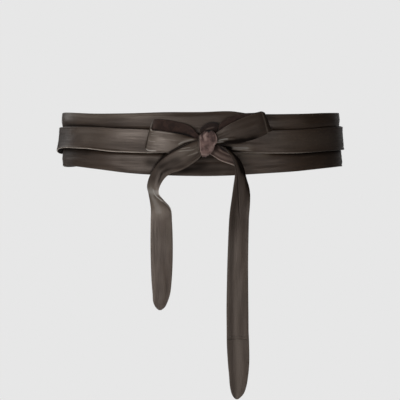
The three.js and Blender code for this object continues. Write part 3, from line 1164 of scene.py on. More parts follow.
@dataclass(frozen=True)
class Seam:
    """A row of stitches straight across a piece.

    Attributes:
        inset: How far it lies from the piece's start or, below zero, from its end.
        on_flesh: Whether it is seen on the flesh side.
        reach: How far it reaches to both sides, as a share of the half width.
        pitch: From one stitch to the next.
        length: Of one stitch.
        thread: The thickness of the thread.
        rings: How many rings of points a stitch has.
        sides: How many points a ring has.
        bluntness: How blunt its ends are. Above 1 their rings keep a width.
        lift: How high the middle of a stitch lies above the leather, in thicknesses of the thread.
        dip: How far its ends dip from there, likewise.
    """

    inset: float
    on_flesh: bool = False
    reach: float = 0.84
    pitch: float = 3.2
    length: float = 2.5
    thread: float = 0.6
    rings: int = 7
    sides: int = 6
    bluntness: float = 1.05
    lift: float = 0.35
    dip: float = 0.6

    def stitches(
        self,
        surface: np.ndarray,
        normals: np.ndarray,
        across: np.ndarray,
    ) -> tuple[np.ndarray, list[tuple[int, ...]]]:
        """Makes the stitches, which lie on the leather and dip into it at both ends.

        Args:
            surface: A line of points across the piece, on the sewn face.
            normals: The directions out of the leather at these points.
            across: The length across at each.

        Returns:
            The points and the faces.
        """
        half = self.reach * float(across[-1])
        count = max(1, round(2 * half / self.pitch))
        points: list[np.ndarray] = []
        faces: list[tuple[int, ...]] = []
        turn = 2 * np.pi * np.arange(self.sides) / self.sides
        for middle in (np.arange(count) - (count - 1) / 2) * self.pitch:
            first = len(points) * self.sides
            for step in np.linspace(-1, 1, self.rings):
                at = middle + step * self.length / 2
                point, out = (
                    np.array([np.interp(at, across, line[:, k]) for k in range(3)])
                    for line in (surface, normals)
                )
                onward = unit(np.cross(surface[-1] - surface[0], out))
                radius = self.thread / 2 * math.sqrt(self.bluntness - step**2)
                rise = self.thread * (self.lift - self.dip * step**2)
                upward = (rise + radius * np.cos(turn))[:, None]
                sideways = (radius * np.sin(turn))[:, None]
                ring = out * upward + onward * sideways
                points.append(point + ring)
            for r in range(self.rings - 1):
                for k in range(self.sides):
                    a, b = first + r * self.sides + k, first + r * self.sides + (k + 1) % self.sides
                    faces.append((a, b, b + self.sides, a + self.sides))
            last = first + (self.rings - 1) * self.sides
            faces.append(tuple(range(first, first + self.sides))[::-1])
            faces.append(tuple(range(last, last + self.sides)))
        return np.concatenate(points), faces


@dataclass(frozen=True)
class Patches:
    """How the rubbing and painted highlight of a piece's edges come and go along them.

    Attributes:
        share: How much of it comes and goes, on either side of the rest.
        length: Length for each radian of its coming and going.
        drift: How far that is early or late, in radians.
        drift_length: Length for each radian of the drift.
    """

    share: float = 0.25
    length: float = 9.0
    drift: float = 2.0
    drift_length: float = 23.0

    def amount(self, along: np.ndarray) -> np.ndarray:
        """How much of the rubbing there is at lengths along a piece."""
        drift = self.drift * np.sin(along / self.drift_length)
        return 1 - self.share + self.share * np.sin(along / self.length + drift)


@dataclass
class LeatherPiece:
    """A piece of leather, cut to an outline and bent into shape, with its edges a little rounded.

    Attributes:
        node: The name of the CAD node that it stands for.
        slot: The record's material slot of that node. It is not used.
        thickness: Of the leather.
        along: How many steps its mesh has from start to end.
        across: How many steps its mesh has from edge to edge.
        grain_side: The side that shows the smooth grain.
        held: How it is held in its shape. It is not used.
        reliefs: Its folds and creases.
        seams: The rows of stitches across it.
        closed: Whether its end joins up with its start.
        raised_nap: Whether its flesh side takes the paler copy: brushed up, and partly painted as lit.
        rubbed_and_highlight: How far its first and its second edge are made pale, from 0 to 1, by rubbing
            and painted highlight.
        rubbed_between: The lengths along it between which they are.
        rubbed_fade: The length over which that fades at both ends.
        patches: How it comes and goes in between.
        wear_width: How far in from the edge the rubbing and its painted highlight reach.
        painted_highlight_marks: The lines of painted highlight, drawn as paler, worn leather.
        painted_shade_marks: The lines of painted shade, drawn as dark leather without shine.
        shoulder: The width over which the corner between a face and the cut edge is worn round.
        shoulder_steps: How many steps its mesh has over that width.
        shoulder_crowding: The power that crowds these steps towards the edge.
        edge_thickness: The share of the thickness that is left at the cut edge.
        cut_share: The share of the shoulder that shows the cut edge's finish.
        least_relief: Folds are shaded by their share of the highest one, or of this where all are lower.
        rough_grid: How many points along and across the piece is first measured by.
        seam_fineness: How many times finer than by its mesh it is measured for a seam.
    """

    node: str
    slot: str = "smooth_leather"
    thickness: float = TIE_THICKNESS
    along: int = 240
    across: int = 26
    grain_side: Side = Side.PLUS
    held: Held = Held.HUNG
    reliefs: tuple[Relief, ...] = ()
    seams: tuple[Seam, ...] = ()
    closed: bool = False
    raised_nap: bool = False
    rubbed_and_highlight: tuple[float, float] = (0.35, 0.6)
    rubbed_between: tuple[float, float] = (-1000.0, 1000.0)
    rubbed_fade: float = 12.0
    patches: Patches = Patches()
    wear_width: float = 1.0
    painted_highlight_marks: tuple[Mark, ...] = ()
    painted_shade_marks: tuple[Mark, ...] = ()
    shoulder: float = 0.45
    shoulder_steps: int = 3
    shoulder_crowding: float = 1.5
    edge_thickness: float = 0.45
    cut_share: float = 0.4
    least_relief: float = 0.5
    rough_grid: tuple[int, int] = (60, 9)
    seam_fineness: int = 4

    def middle(self, u: np.ndarray, v: np.ndarray) -> np.ndarray:
        """Finds points of the middle of the leather.

        Args:
            u: From 0 at the piece's start to 1 at its end.
            v: From -1 at its first edge to 1 at its second.

        Returns:
            The points, with a last axis of 3.
        """
        raise NotImplementedError

    def spaced(self, count: int, size: float) -> np.ndarray:
        """Spaces a mesh's lines evenly, with a few more in the shoulder at either border.

        Args:
            count: How many steps there are between the shoulders.
            size: The length that the lines are spread over.

        Returns:
            Shares of the length, from 0 to 1.
        """
        shares = np.arange(self.shoulder_steps) / self.shoulder_steps
        edge = self.shoulder / size * shares**self.shoulder_crowding
        inner = np.linspace(self.shoulder / size, 1 - self.shoulder / size, count + 1)
        return np.concatenate([edge, inner, 1 - edge[::-1]])

    def grid(self) -> np.ndarray:
        """Spreads the mesh's points over the middle of the leather, once the piece is measured.

        Returns:
            The points.
        """
        rows, columns = self.rough_grid
        rough = np.meshgrid(np.linspace(0, 1, rows), np.linspace(-1, 1, columns), indexing="ij")
        rough_hide = self.hide(self.middle(*rough))
        width = 2 * float(np.median(np.abs(rough_hide.across).max(axis=1)))
        if self.closed:
            u = np.arange(self.along) / self.along
        else:
            u = self.spaced(self.along, rough_hide.length)
        v = 2 * self.spaced(self.across, width) - 1
        return self.middle(*np.meshgrid(u, v, indexing="ij"))

    def normals(self, points: np.ndarray) -> np.ndarray:
        """Finds the directions square to a grid of points, towards its plus side.

        Args:
            points: The grid.

        Returns:
            Unit vectors, one for each point.
        """
        if self.closed:
            points = np.concatenate([points[-1:], points, points[:1]])
        onward, sideways = np.gradient(points, axis=(0, 1))
        square = unit(np.cross(onward, sideways))
        return square[1:-1] if self.closed else square

    def hide(self, points: np.ndarray) -> Hide:
        """Lays a grid of points out flat.

        Args:
            points: The grid.

        Returns:
            Where its points lie on the hide.
        """
        middle = points[:, points.shape[1] // 2]
        steps = np.linalg.norm(np.diff(middle, axis=0), axis=1)
        lengths = np.concatenate([[0], np.cumsum(steps)])
        sideways = np.linalg.norm(np.diff(points, axis=1), axis=2)
        widths = np.concatenate([np.zeros((len(points), 1)), np.cumsum(sideways, axis=1)], axis=1)
        half = widths[:, -1:] / 2
        across = widths - half
        along = np.broadcast_to(lengths[:, None], across.shape)
        return Hide(along, across, across / np.maximum(half, LEAST_HALF_WIDTH), float(lengths[-1]))

    def borders(self, points: np.ndarray) -> np.ndarray:
        """Measures how far each point of a grid lies from the nearest cut edge, on the leather.

        Args:
            points: The grid.

        Returns:
            The lengths, one for each point.
        """
        hide = self.hide(points)
        half = np.abs(hide.across).max(axis=1, keepdims=True)
        edge = half - np.abs(hide.across)
        if self.closed:
            return edge
        return np.minimum(edge, np.minimum(hide.along, hide.length - hide.along))

    def relief(self, hide: Hide) -> np.ndarray:
        """The height of all its folds and creases over the hide."""
        return sum((relief.height(hide) for relief in self.reliefs), np.zeros_like(hide.along))

    def faces(self, rows: int, columns: int) -> tuple[np.ndarray, np.ndarray]:
        """Joins two layers of a grid to a closed wall.

        Args:
            rows: How many points the grid has from start to end.
            columns: How many it has from edge to edge.

        Returns:
            The faces as rows of four vertex numbers, and for each of them what it belongs to.
        """
        count = rows * columns
        spans = rows if self.closed else rows - 1
        i, j = np.meshgrid(np.arange(spans), np.arange(columns - 1), indexing="ij")

        def at(row: np.ndarray | int, place: np.ndarray | int, layer: int) -> np.ndarray:
            """The numbers of the vertices at these rows and places of a layer."""
            return (row % rows) * columns + place + layer * count

        plus = np.stack([at(i, j, 0), at(i + 1, j, 0), at(i + 1, j + 1, 0), at(i, j + 1, 0)], -1)
        minus = np.stack([at(i, j, 1), at(i, j + 1, 1), at(i + 1, j + 1, 1), at(i + 1, j, 1)], -1)
        k = np.arange(spans)
        last = columns - 1
        border = [
            np.stack([at(k + 1, 0, 0), at(k, 0, 0), at(k, 0, 1), at(k + 1, 0, 1)], -1),
            np.stack([at(k, last, 0), at(k + 1, last, 0), at(k + 1, last, 1), at(k, last, 1)], -1),
        ]
        if not self.closed:
            m = np.arange(columns - 1)
            end = rows - 1
            border.append(np.stack([at(0, m, 0), at(0, m + 1, 0), at(0, m + 1, 1), at(0, m, 1)], -1))
            border.append(
                np.stack([at(end, m + 1, 0), at(end, m, 0), at(end, m, 1), at(end, m + 1, 1)], -1)
            )
        parts = (plus.reshape(-1, 4), minus.reshape(-1, 4), np.vstack(border))
        kinds = [np.full(len(part), kind) for part, kind in zip(parts, Face)]
        return np.vstack(parts), np.concatenate(kinds)

    def build(self, finishes: Finishes) -> bpy.types.Object:
        """Makes the piece, dresses it, puts it on the frame and sews its seams.

        Args:
            finishes: The belt's finishes.

        Returns:
            The piece.
        """
        points = self.grid()
        hide = self.hide(points)
        height = self.relief(hide)
        points = points + self.normals(points) * height[..., None]
        border = self.borders(points)
        square = self.normals(points)
        worn = np.sqrt(np.clip(1 - (1 - np.clip(border / self.shoulder, 0, 1)) ** 2, 0, 1))
        half = self.thickness / 2 * (self.edge_thickness + (1 - self.edge_thickness) * worn)
        layers = np.stack([points + square * half[..., None], points - square * half[..., None]])
        faces, kinds = self.faces(*points.shape[:2])
        piece = form(self.node + "_leather", layers.reshape(-1, 3), faces.tolist())
        flesh = finishes.brushed_and_painted_lit_flesh if self.raised_nap else finishes.flesh
        # In the order that Finish gives.
        for finish in (finishes.grain, flesh, finishes.edge):
            piece.data.materials.append(finish)
        chosen = self.choose(faces, kinds, hide, border)
        piece.data.polygons.foreach_set("material_index", chosen.astype(np.int32))
        self.dress(piece.data, hide, border, height)
        self.place(piece, hide)
        for number, seam in enumerate(self.seams, start=1):
            self.sew(f"{self.node}_stitches_{number}", seam, finishes)
        return piece

    def choose(self, faces: np.ndarray, kinds: np.ndarray, hide: Hide, border: np.ndarray) -> np.ndarray:
        """Chooses the finish of each face.

        Args:
            faces: The faces.
            kinds: What each of them belongs to.
            hide: Where the points lie on the hide.
            border: How far they are from a cut edge.

        Returns:
            The place of the finish among the piece's materials, for each face.
        """
        share, near = (
            np.concatenate([values.ravel(), values.ravel()])[faces].mean(axis=1)
            for values in (hide.share, border)
        )
        if self.grain_side is Side.PLUS:
            chosen = np.where(kinds == Face.PLUS, Finish.GRAIN, Finish.FLESH)
        else:
            chosen = np.where(kinds == Face.PLUS, Finish.FLESH, Finish.GRAIN)
        chosen = np.where((chosen == Finish.FLESH) & self.grain_shows(share), Finish.GRAIN, chosen)
        cut = near < self.shoulder * self.cut_share
        return np.where((kinds == Face.BORDER) | cut, Finish.EDGE, chosen)

    def dress(self, mesh: bpy.types.Mesh, hide: Hide, border: np.ndarray, height: np.ndarray) -> None:
        """Gives a wall the attributes that its finishes read.

        Args:
            mesh: The wall's mesh.
            hide: Where its points lie on the hide.
            border: How far they are from a cut edge.
            height: The relief at each.
        """
        flat = np.stack([hide.along, hide.across, np.zeros_like(hide.along)], axis=-1).reshape(-1, 3)
        lay = mesh.attributes.new("hide", "FLOAT_VECTOR", "POINT")
        lay.data.foreach_set("vector", np.concatenate([flat, flat]).astype(np.float32).ravel())
        # Pale marks mix rubbing with painted highlight, and dark marks are painted shade.
        wear_and_highlight = np.clip(self.wear_and_highlight(hide, border), 0, MOST_WEAR_AND_HIGHLIGHT)
        painted_shade = np.clip(self.painted_shade_amount(hide), 0, MOST_PAINTED_SHADE)
        scale = max(float(np.abs(height).max()), self.least_relief)
        relief = self.grain_side.value * height / scale
        for name, plus, minus in (("wear_and_highlight", wear_and_highlight, wear_and_highlight), ("painted_shade", painted_shade, painted_shade), ("relief", relief, -relief)):
            values = mesh.attributes.new(name, "FLOAT", "POINT")
            both = np.concatenate([plus.ravel(), minus.ravel()])
            values.data.foreach_set("value", both.astype(np.float32))
        mesh.validate()
        mesh.update()

    def wear_and_highlight(self, hide: Hide, border: np.ndarray) -> np.ndarray:
        """Works out the edges' rubbing with painted highlight, and the lines of painted highlight.

        Args:
            hide: Where the points lie on the hide.
            border: How far they are from a cut edge.

        Returns:
            The paleness at each point, from rubbing and painted highlight.
        """
        strength = np.where(hide.share < 0, *self.rubbed_and_highlight)
        start, end = self.rubbed_between
        within = np.clip(np.minimum(hide.along - start, end - hide.along) / self.rubbed_fade, 0, 1)
        near = np.exp(-((border / self.wear_width) ** 2))
        wear_and_highlight = strength * self.patches.amount(hide.along) * within * near
        return np.maximum.reduce([wear_and_highlight, *(mark.amount(hide) for mark in self.painted_highlight_marks)])

    def painted_shade_amount(self, hide: Hide) -> np.ndarray:
        """How much painted shade lies over the hide, before that is clipped to its most."""
        return sum((mark.amount(hide) for mark in self.painted_shade_marks), np.zeros_like(hide.along))

    def grain_shows(self, share: np.ndarray) -> np.ndarray:
        """Where the grain is rolled over on to the flesh side, by shares of the half width."""
        return np.zeros(share.shape, bool)

    def place(self, piece: bpy.types.Object, hide: Hide) -> None:
        """Puts the piece on the frame, hides its CAD part, and works out its area and length.

        Args:
            piece: The piece.
            hide: Where its points lie on the hide.
        """
        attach(piece, "root")
        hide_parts(self.node)
        widths = 2 * np.abs(hide.across).max(axis=1)
        area = float(np.trapz(widths, hide.along[:, 0]))
        if self.closed:
            length = hide.length * self.along / (self.along - 1)
            area *= length / hide.length
        else:
            length = hide.length

    def sew(self, name: str, seam: Seam, finishes: Finishes) -> None:
        """Sews one seam and puts it on the frame.

        Args:
            name: The name of the row of stitches.
            seam: The seam.
            finishes: The belt's finishes.
        """
        u = np.linspace(0, 1, self.seam_fineness * self.along)
        line = self.middle(u, np.zeros_like(u))
        lengths = np.concatenate([[0], np.cumsum(np.linalg.norm(np.diff(line, axis=0), axis=1))])
        at = seam.inset if seam.inset >= 0 else lengths[-1] + seam.inset
        # A thread's width before the seam, at it and as far after it.
        places = np.array([at - seam.thread, at, at + seam.thread])
        v = np.linspace(-1, 1, self.seam_fineness * self.across + 1)
        points = self.middle(*np.meshgrid(np.interp(places, lengths, u), v, indexing="ij"))
        hide = self.hide(points)
        hide = replace(hide, along=hide.along + places[0], length=float(lengths[-1]))
        points = points + self.normals(points) * self.relief(hide)[..., None]
        out = self.normals(points) * self.grain_side.value * (-1 if seam.on_flesh else 1)
        surface = points + out * self.thickness / 2
        row = form(name, *seam.stitches(surface[1], out[1], hide.across[1]))
        row.data.materials.append(finishes.thread)
        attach(row, "root")


@dataclass(frozen=True)
class Shade:
    """A stretch of the panel beside a strap's edge where shade is painted on.

    Attributes:
        start: Where it starts, along the waist line.
        end: Where it ends.
        reach: How far it reaches from the strap.
        strength: How dark the painted shade is there, from 0 to 1.
        is_below: Whether it lies below the strap.
        fade: The length over which it fades at both ends.
    """

    start: float
    end: float
    reach: float
    strength: float
    is_below: bool = True
    fade: float = 25.0


@dataclass
class FrontPanel(LeatherPiece):
    """The wide shaped band across the front and sides.

    The straps press a groove into it, and its bands above and below the groove swell out and turn in again
    a little at the edges.

    Attributes:
        reach: Its length from the front centre to either end, along the waist line.
        groove_half_width: How far the groove reaches to both sides of a strap's middle.
        band_arch: The share of a half turn that a band swells through on its way to the edge.
        narrowest_band: The narrowest band that swells.
        puff: How far the leather puffs up where a strap presses into it.
        puff_width: How far from the groove that is highest.
        flat_by_knot: The length beside the knot over which it is pressed flat.
        side: Where the sides of the waist are, along the waist line.
        flat_by_side: The length beside them over which it is stretched flat.
        shades: Where shade is painted on it beside the straps.
        under_strap: How far a shade reaches in under the strap.
    """

    node: str = "front_panel"
    thickness: float = PANEL_THICKNESS
    along: int = 460
    across: int = 76
    grain_side: Side = Side.MINUS
    held: Held = Held.STRETCHED
    reach: float = 340.0
    groove_half_width: float = 11.5
    band_arch: float = 0.85
    narrowest_band: float = 1.0
    puff: float = 1.1
    puff_width: float = 3.0
    flat_by_knot: float = 34.0
    side: float = 183.0
    flat_by_side: float = 46.0
    under_strap: float = 2.0
    shades: tuple[Shade, ...] = (
        Shade(start=-182, end=-90, reach=7.0, strength=0.85),
        Shade(start=-120, end=-20, reach=1.6, strength=0.55),
        Shade(start=70, end=178, reach=3.6, strength=0.9),
        Shade(start=58, end=100, reach=1.4, strength=0.6),
        Shade(start=-172, end=-40, reach=1.8, strength=0.75, is_below=False),
        Shade(start=60, end=170, reach=1.2, strength=0.3, is_below=False),
        Shade(start=-12, end=26, reach=14.0, strength=0.34, fade=10),
    )
    painted_highlight_marks: tuple[Mark, ...] = marks(
        ((164, -0.84), (212, -0.78), 3.2, 0.3),
        ((150, -0.75), (262, -0.84), 5.0, 0.26),
        ((190, -0.91), (310, -0.91), 2.6, 0.95),
        ((360, 0.36), (408, 0.38), 2.6, 1.1),
        ((392, -0.74), (446, -0.74), 6.0, 0.22),
    )
    painted_shade_marks: tuple[Mark, ...] = marks(
        ((311, 0.1), (292, 1.05), 1.6, 1.0),
        ((318, 0.9), (350, 0.6), 3.0, 0.35),
        ((246, -0.68), (304, -0.62), 4.0, 0.38),
        ((286, 0.6), (316, 0.62), 4.0, 0.4),
        ((258, 0.6), (300, 0.66), 6.0, 0.24),
        ((258, 0.95), (298, 0.98), 3.0, 0.35),
        ((306, 0.84), (372, 0.84), 4.0, 0.5),
    )
    reliefs: tuple[Relief, ...] = (
        Waves(seed=11, depth=0.12, length=60, width=8),
        Waves(seed=12, depth=0.06, length=30, width=4),
        Rim(),
    )
    seams: tuple[Seam, ...] = (
        Seam(inset=3, on_flesh=True),
        Seam(inset=12, on_flesh=True),
        Seam(inset=-3, on_flesh=True),
        Seam(inset=-12, on_flesh=True),
    )

    def middle(self, u: np.ndarray, v: np.ndarray) -> np.ndarray:
        """Finds points of the middle of the leather.

        Args:
            u: From 0 at its left end to 1 at its right.
            v: From -1 at its top edge to 1 at its bottom edge.

        Returns:
            The points, with a last axis of 3.
        """
        along = self.reach * (2 * u - 1)
        places = column(PANEL_ROWS, "along")
        top, bottom, bulge, lean = (
            smooth(places, column(PANEL_ROWS, name), along)
            for name in ("top", "bottom", "bulge", "lean")
        )
        height = top + (bottom - top) * (v + 1) / 2
        groove = self.groove(along)
        beyond = np.abs(height - groove) - self.groove_half_width
        band = np.abs(np.where(height > groove, top, bottom) - groove) - self.groove_half_width
        swells = (beyond > 0) & (band > self.narrowest_band)
        share = np.where(swells, beyond / np.maximum(band, LEAST_SPAN), 0)
        swell = bulge * np.sin(self.band_arch * np.pi * share)
        beside = np.where(share > 0, beyond / self.puff_width, 0)
        free = 1 - np.exp(-(((along - KNOT[0]) / self.flat_by_knot) ** 2))
        free *= 1 - np.exp(-(((np.abs(along) - self.side) / self.flat_by_side) ** 2))
        puff = self.puff * beside * np.exp(1 - beside) * free * np.clip(bulge, 0, 1)
        return WAIST.point(along, swell + puff + lean * v / 2, height)

    def groove(self, along: np.ndarray) -> np.ndarray:
        """Finds the middle of the strap that lies over the panel.

        Args:
            along: Places along the waist line.

        Returns:
            Its height at each.
        """
        heights = []
        for rows in (LEFT_STRAP_ROWS, RIGHT_STRAP_ROWS):
            places = column(rows, "along")
            heights.append(smooth(places, column(rows, "height"), np.clip(along, places[0], places[-1])))
        return np.where(along < RIGHT_STRAP_ROWS[0].along, *heights)

    def painted_shade_amount(self, hide: Hide) -> np.ndarray:
        """Adds the painted shade beside the straps to its lines of painted shade.

        Args:
            hide: Where the points lie on the hide.

        Returns:
            How much painted shade lies at each, before that is clipped to its most.
        """
        along = hide.along - hide.length / 2
        places = column(PANEL_ROWS, "along")
        top, bottom = (smooth(places, column(PANEL_ROWS, name), along) for name in ("top", "bottom"))
        height = (top + bottom) / 2 - hide.share * (top - bottom) / 2
        below = self.groove(along) - self.groove_half_width - height
        above = height - self.groove(along) - self.groove_half_width
        total = super().painted_shade_amount(hide)
        for shade in self.shades:
            depth = below if shade.is_below else above
            span = np.clip(np.minimum(along - shade.start, shade.end - along) / shade.fade, 0, 1)
            reach = shade.reach * np.sqrt(np.maximum(span, LEAST_SPAN))
            fade = np.exp(-((np.maximum(depth, 0) / reach) ** 2))
            total += shade.strength * span * fade * (depth > -self.under_strap)
        return total


@dataclass
class Tie(LeatherPiece):
    """One of the two long straps, from its seam on the panel's end to the knot.

    Attributes:
        rows: Its sections, by their place along the waist line.
    """

    rows: tuple[StrapRow, ...] = ()
    along: int = 420
    grain_side: Side = Side.MINUS
    held: Held = Held.STRETCHED

    def middle(self, u: np.ndarray, v: np.ndarray) -> np.ndarray:
        """Finds points of the middle of the leather.

        Args:
            u: From 0 at the first section to 1 at the last.
            v: From -1 at its upper edge to 1 at its lower edge.

        Returns:
            The points, with a last axis of 3.
        """
        places = column(self.rows, "along")
        along = places[0] + (places[-1] - places[0]) * u
        height, width, level, flare = (
            smooth(places, column(self.rows, name), along)
            for name in ("height", "width", "level", "flare")
        )
        stand_off = flare * ((1 + v) / 2) ** 2
        return WAIST.point(along, level + stand_off, height - v * width / 2)


@dataclass
class Strip(LeatherPiece):
    """A strip of the bow, through the sections of its table.

    Attributes:
        rows: Its sections, from its start to its end.
        small: The share of its length over which its direction is measured.
    """

    rows: tuple[StripRow, ...] = ()
    across: int = 40
    small: float = 1e-4

    def edge(self, number: int, u: np.ndarray) -> np.ndarray:
        """Finds points of one of the two edges.

        Args:
            number: 1 or 2.
            u: From 0 at the strip's start to 1 at its end.

        Returns:
            The edge's points.
        """
        x, out, up = (column(self.rows, f"{name}{number}") for name in ("x", "out", "up"))
        return KNOT + through(np.stack([x, -out, up], axis=-1), u)

    def middle(self, u: np.ndarray, v: np.ndarray) -> np.ndarray:
        """Finds points of the middle of the leather.

        Args:
            u: From 0 at the strip's start to 1 at its end.
            v: From -1 at its first edge to 1 at its second.

        Returns:
            The points, with a last axis of 3.
        """
        before = np.clip(u - self.small, 0, 1)
        after = np.clip(u + self.small, 0, 1)
        start, end = (self.edge(number, u) for number in (1, 2))
        onward = sum(unit(self.edge(number, after) - self.edge(number, before)) for number in (1, 2))
        square = unit(np.cross(onward, end - start))
        places = np.linspace(0, 1, len(self.rows))
        arch = smooth(places, column(self.rows, "arch"), u) * (1 - v * v)
        return start + (end - start) * ((v + 1) / 2)[..., None] + square * arch[..., None]


@dataclass
class KnotWrap(LeatherPiece):
    """The turn of strap round the middle of the bow, flesh side out.

    It is a closed band, an upright oval in side view, pleated where it is drawn in at the top and bottom.

    Attributes:
        back_out: How far in front of the panel it passes behind the bow.
        front_out: How far in front of the panel it passes over the bow.
        half_height: Half its height.
        squareness: 2 for an ellipse in side view, and more for a fuller oval.
        front_swell: How far the middle of its front stands out beyond its rims.
        rim_lift: How far its left rim stands off at the bottom of the front.
        rolled_rim: Its left rim beyond this share of the half width is rolled over and shows the grain.
    """

    node: str = "knot_wrap"
    slot: str = "flesh_side"
    along: int = 260
    across: int = 64
    grain_side: Side = Side.MINUS
    held: Held = Held.GATHERED
    closed: bool = True
    raised_nap: bool = True
    back_out: float = 6.1
    front_out: float = 14.7
    half_height: float = 11.6
    squareness: float = 4.0
    front_swell: float = 1.1
    rim_lift: float = 2.0
    rolled_rim: float = -0.8

    def grain_shows(self, share: np.ndarray) -> np.ndarray:
        """Where the grain shows on the flesh side, by shares of the half width."""
        return share < self.rolled_rim

    def middle(self, u: np.ndarray, v: np.ndarray) -> np.ndarray:
        """Finds points of the middle of the leather.

        Args:
            u: From 0 at the front, down and round the back, to 1 at the front again.
            v: From -1 at its left rim to 1 at its right.

        Returns:
            The points, with a last axis of 3.
        """
        angle = -2 * np.pi * u
        power = 2 / self.squareness
        forward = np.sign(np.cos(angle)) * np.abs(np.cos(angle)) ** power
        upward = np.sign(np.sin(angle)) * np.abs(np.sin(angle)) ** power
        places = column(WRAP_ROWS, "up")
        up = self.half_height * upward
        left, right = (smooth(places, column(WRAP_ROWS, name), up) for name in ("left", "right"))
        swell = self.front_swell * (1 - v * v)
        lift = self.rim_lift * np.maximum(-upward, 0) * np.maximum(-v, 0)
        middle_out = (self.back_out + self.front_out) / 2
        half_out = (self.front_out - self.back_out) / 2
        out = middle_out + half_out * forward + (swell + lift) * np.maximum(forward, 0)
        return KNOT + np.stack([-left + (left + right) * (v + 1) / 2, -out, up], axis=-1)


# The studio


@dataclass(frozen=True)
class Softbox:
    """A soft light, aimed at the belt.

    Attributes:
        name: Its name.
        azimuth: Its direction from the belt in degrees, from the camera's side, positive to the right.
        elevation: How high it stands, in degrees.
        width: Its width in metres.
        height: Its height in metres.
        power: Its power in watts.
        distance: How far from its target it stands, in metres.
    """

    name: str
    azimuth: float
    elevation: float
    width: float
    height: float
    power: float
    distance: float = 1.8

    def make(self, target: Vector) -> bpy.types.Object:
        """Adds the light to the scene.

        Args:
            target: What it is aimed at, in metres.

        Returns:
            The light.
        """
        light = bpy.data.lights.new(self.name, "AREA")
        light.shape = "RECTANGLE"
        light.size = self.width
        light.size_y = self.height
        light.energy = self.power
        turn, rise = math.radians(self.azimuth), math.radians(self.elevation)
        away = Vector((math.sin(turn) * math.cos(rise), -math.cos(turn) * math.cos(rise), math.sin(rise)))
        lamp = bpy.data.objects.new(self.name, light)
        lamp.location = target + away * self.distance
        lamp.rotation_euler = (-away).to_track_quat("-Z", "Y").to_euler()
        lamp.visible_camera = False
        bpy.context.scene.collection.objects.link(lamp)
        return lamp


def only_for_the_camera(thing: bpy.types.Object) -> None:
    """Keeps a thing from lighting, shading or showing in anything.

    Args:
        thing: The thing.
    """
    thing.visible_diffuse = False
    thing.visible_glossy = False
    thing.visible_transmission = False
    thing.visible_shadow = False


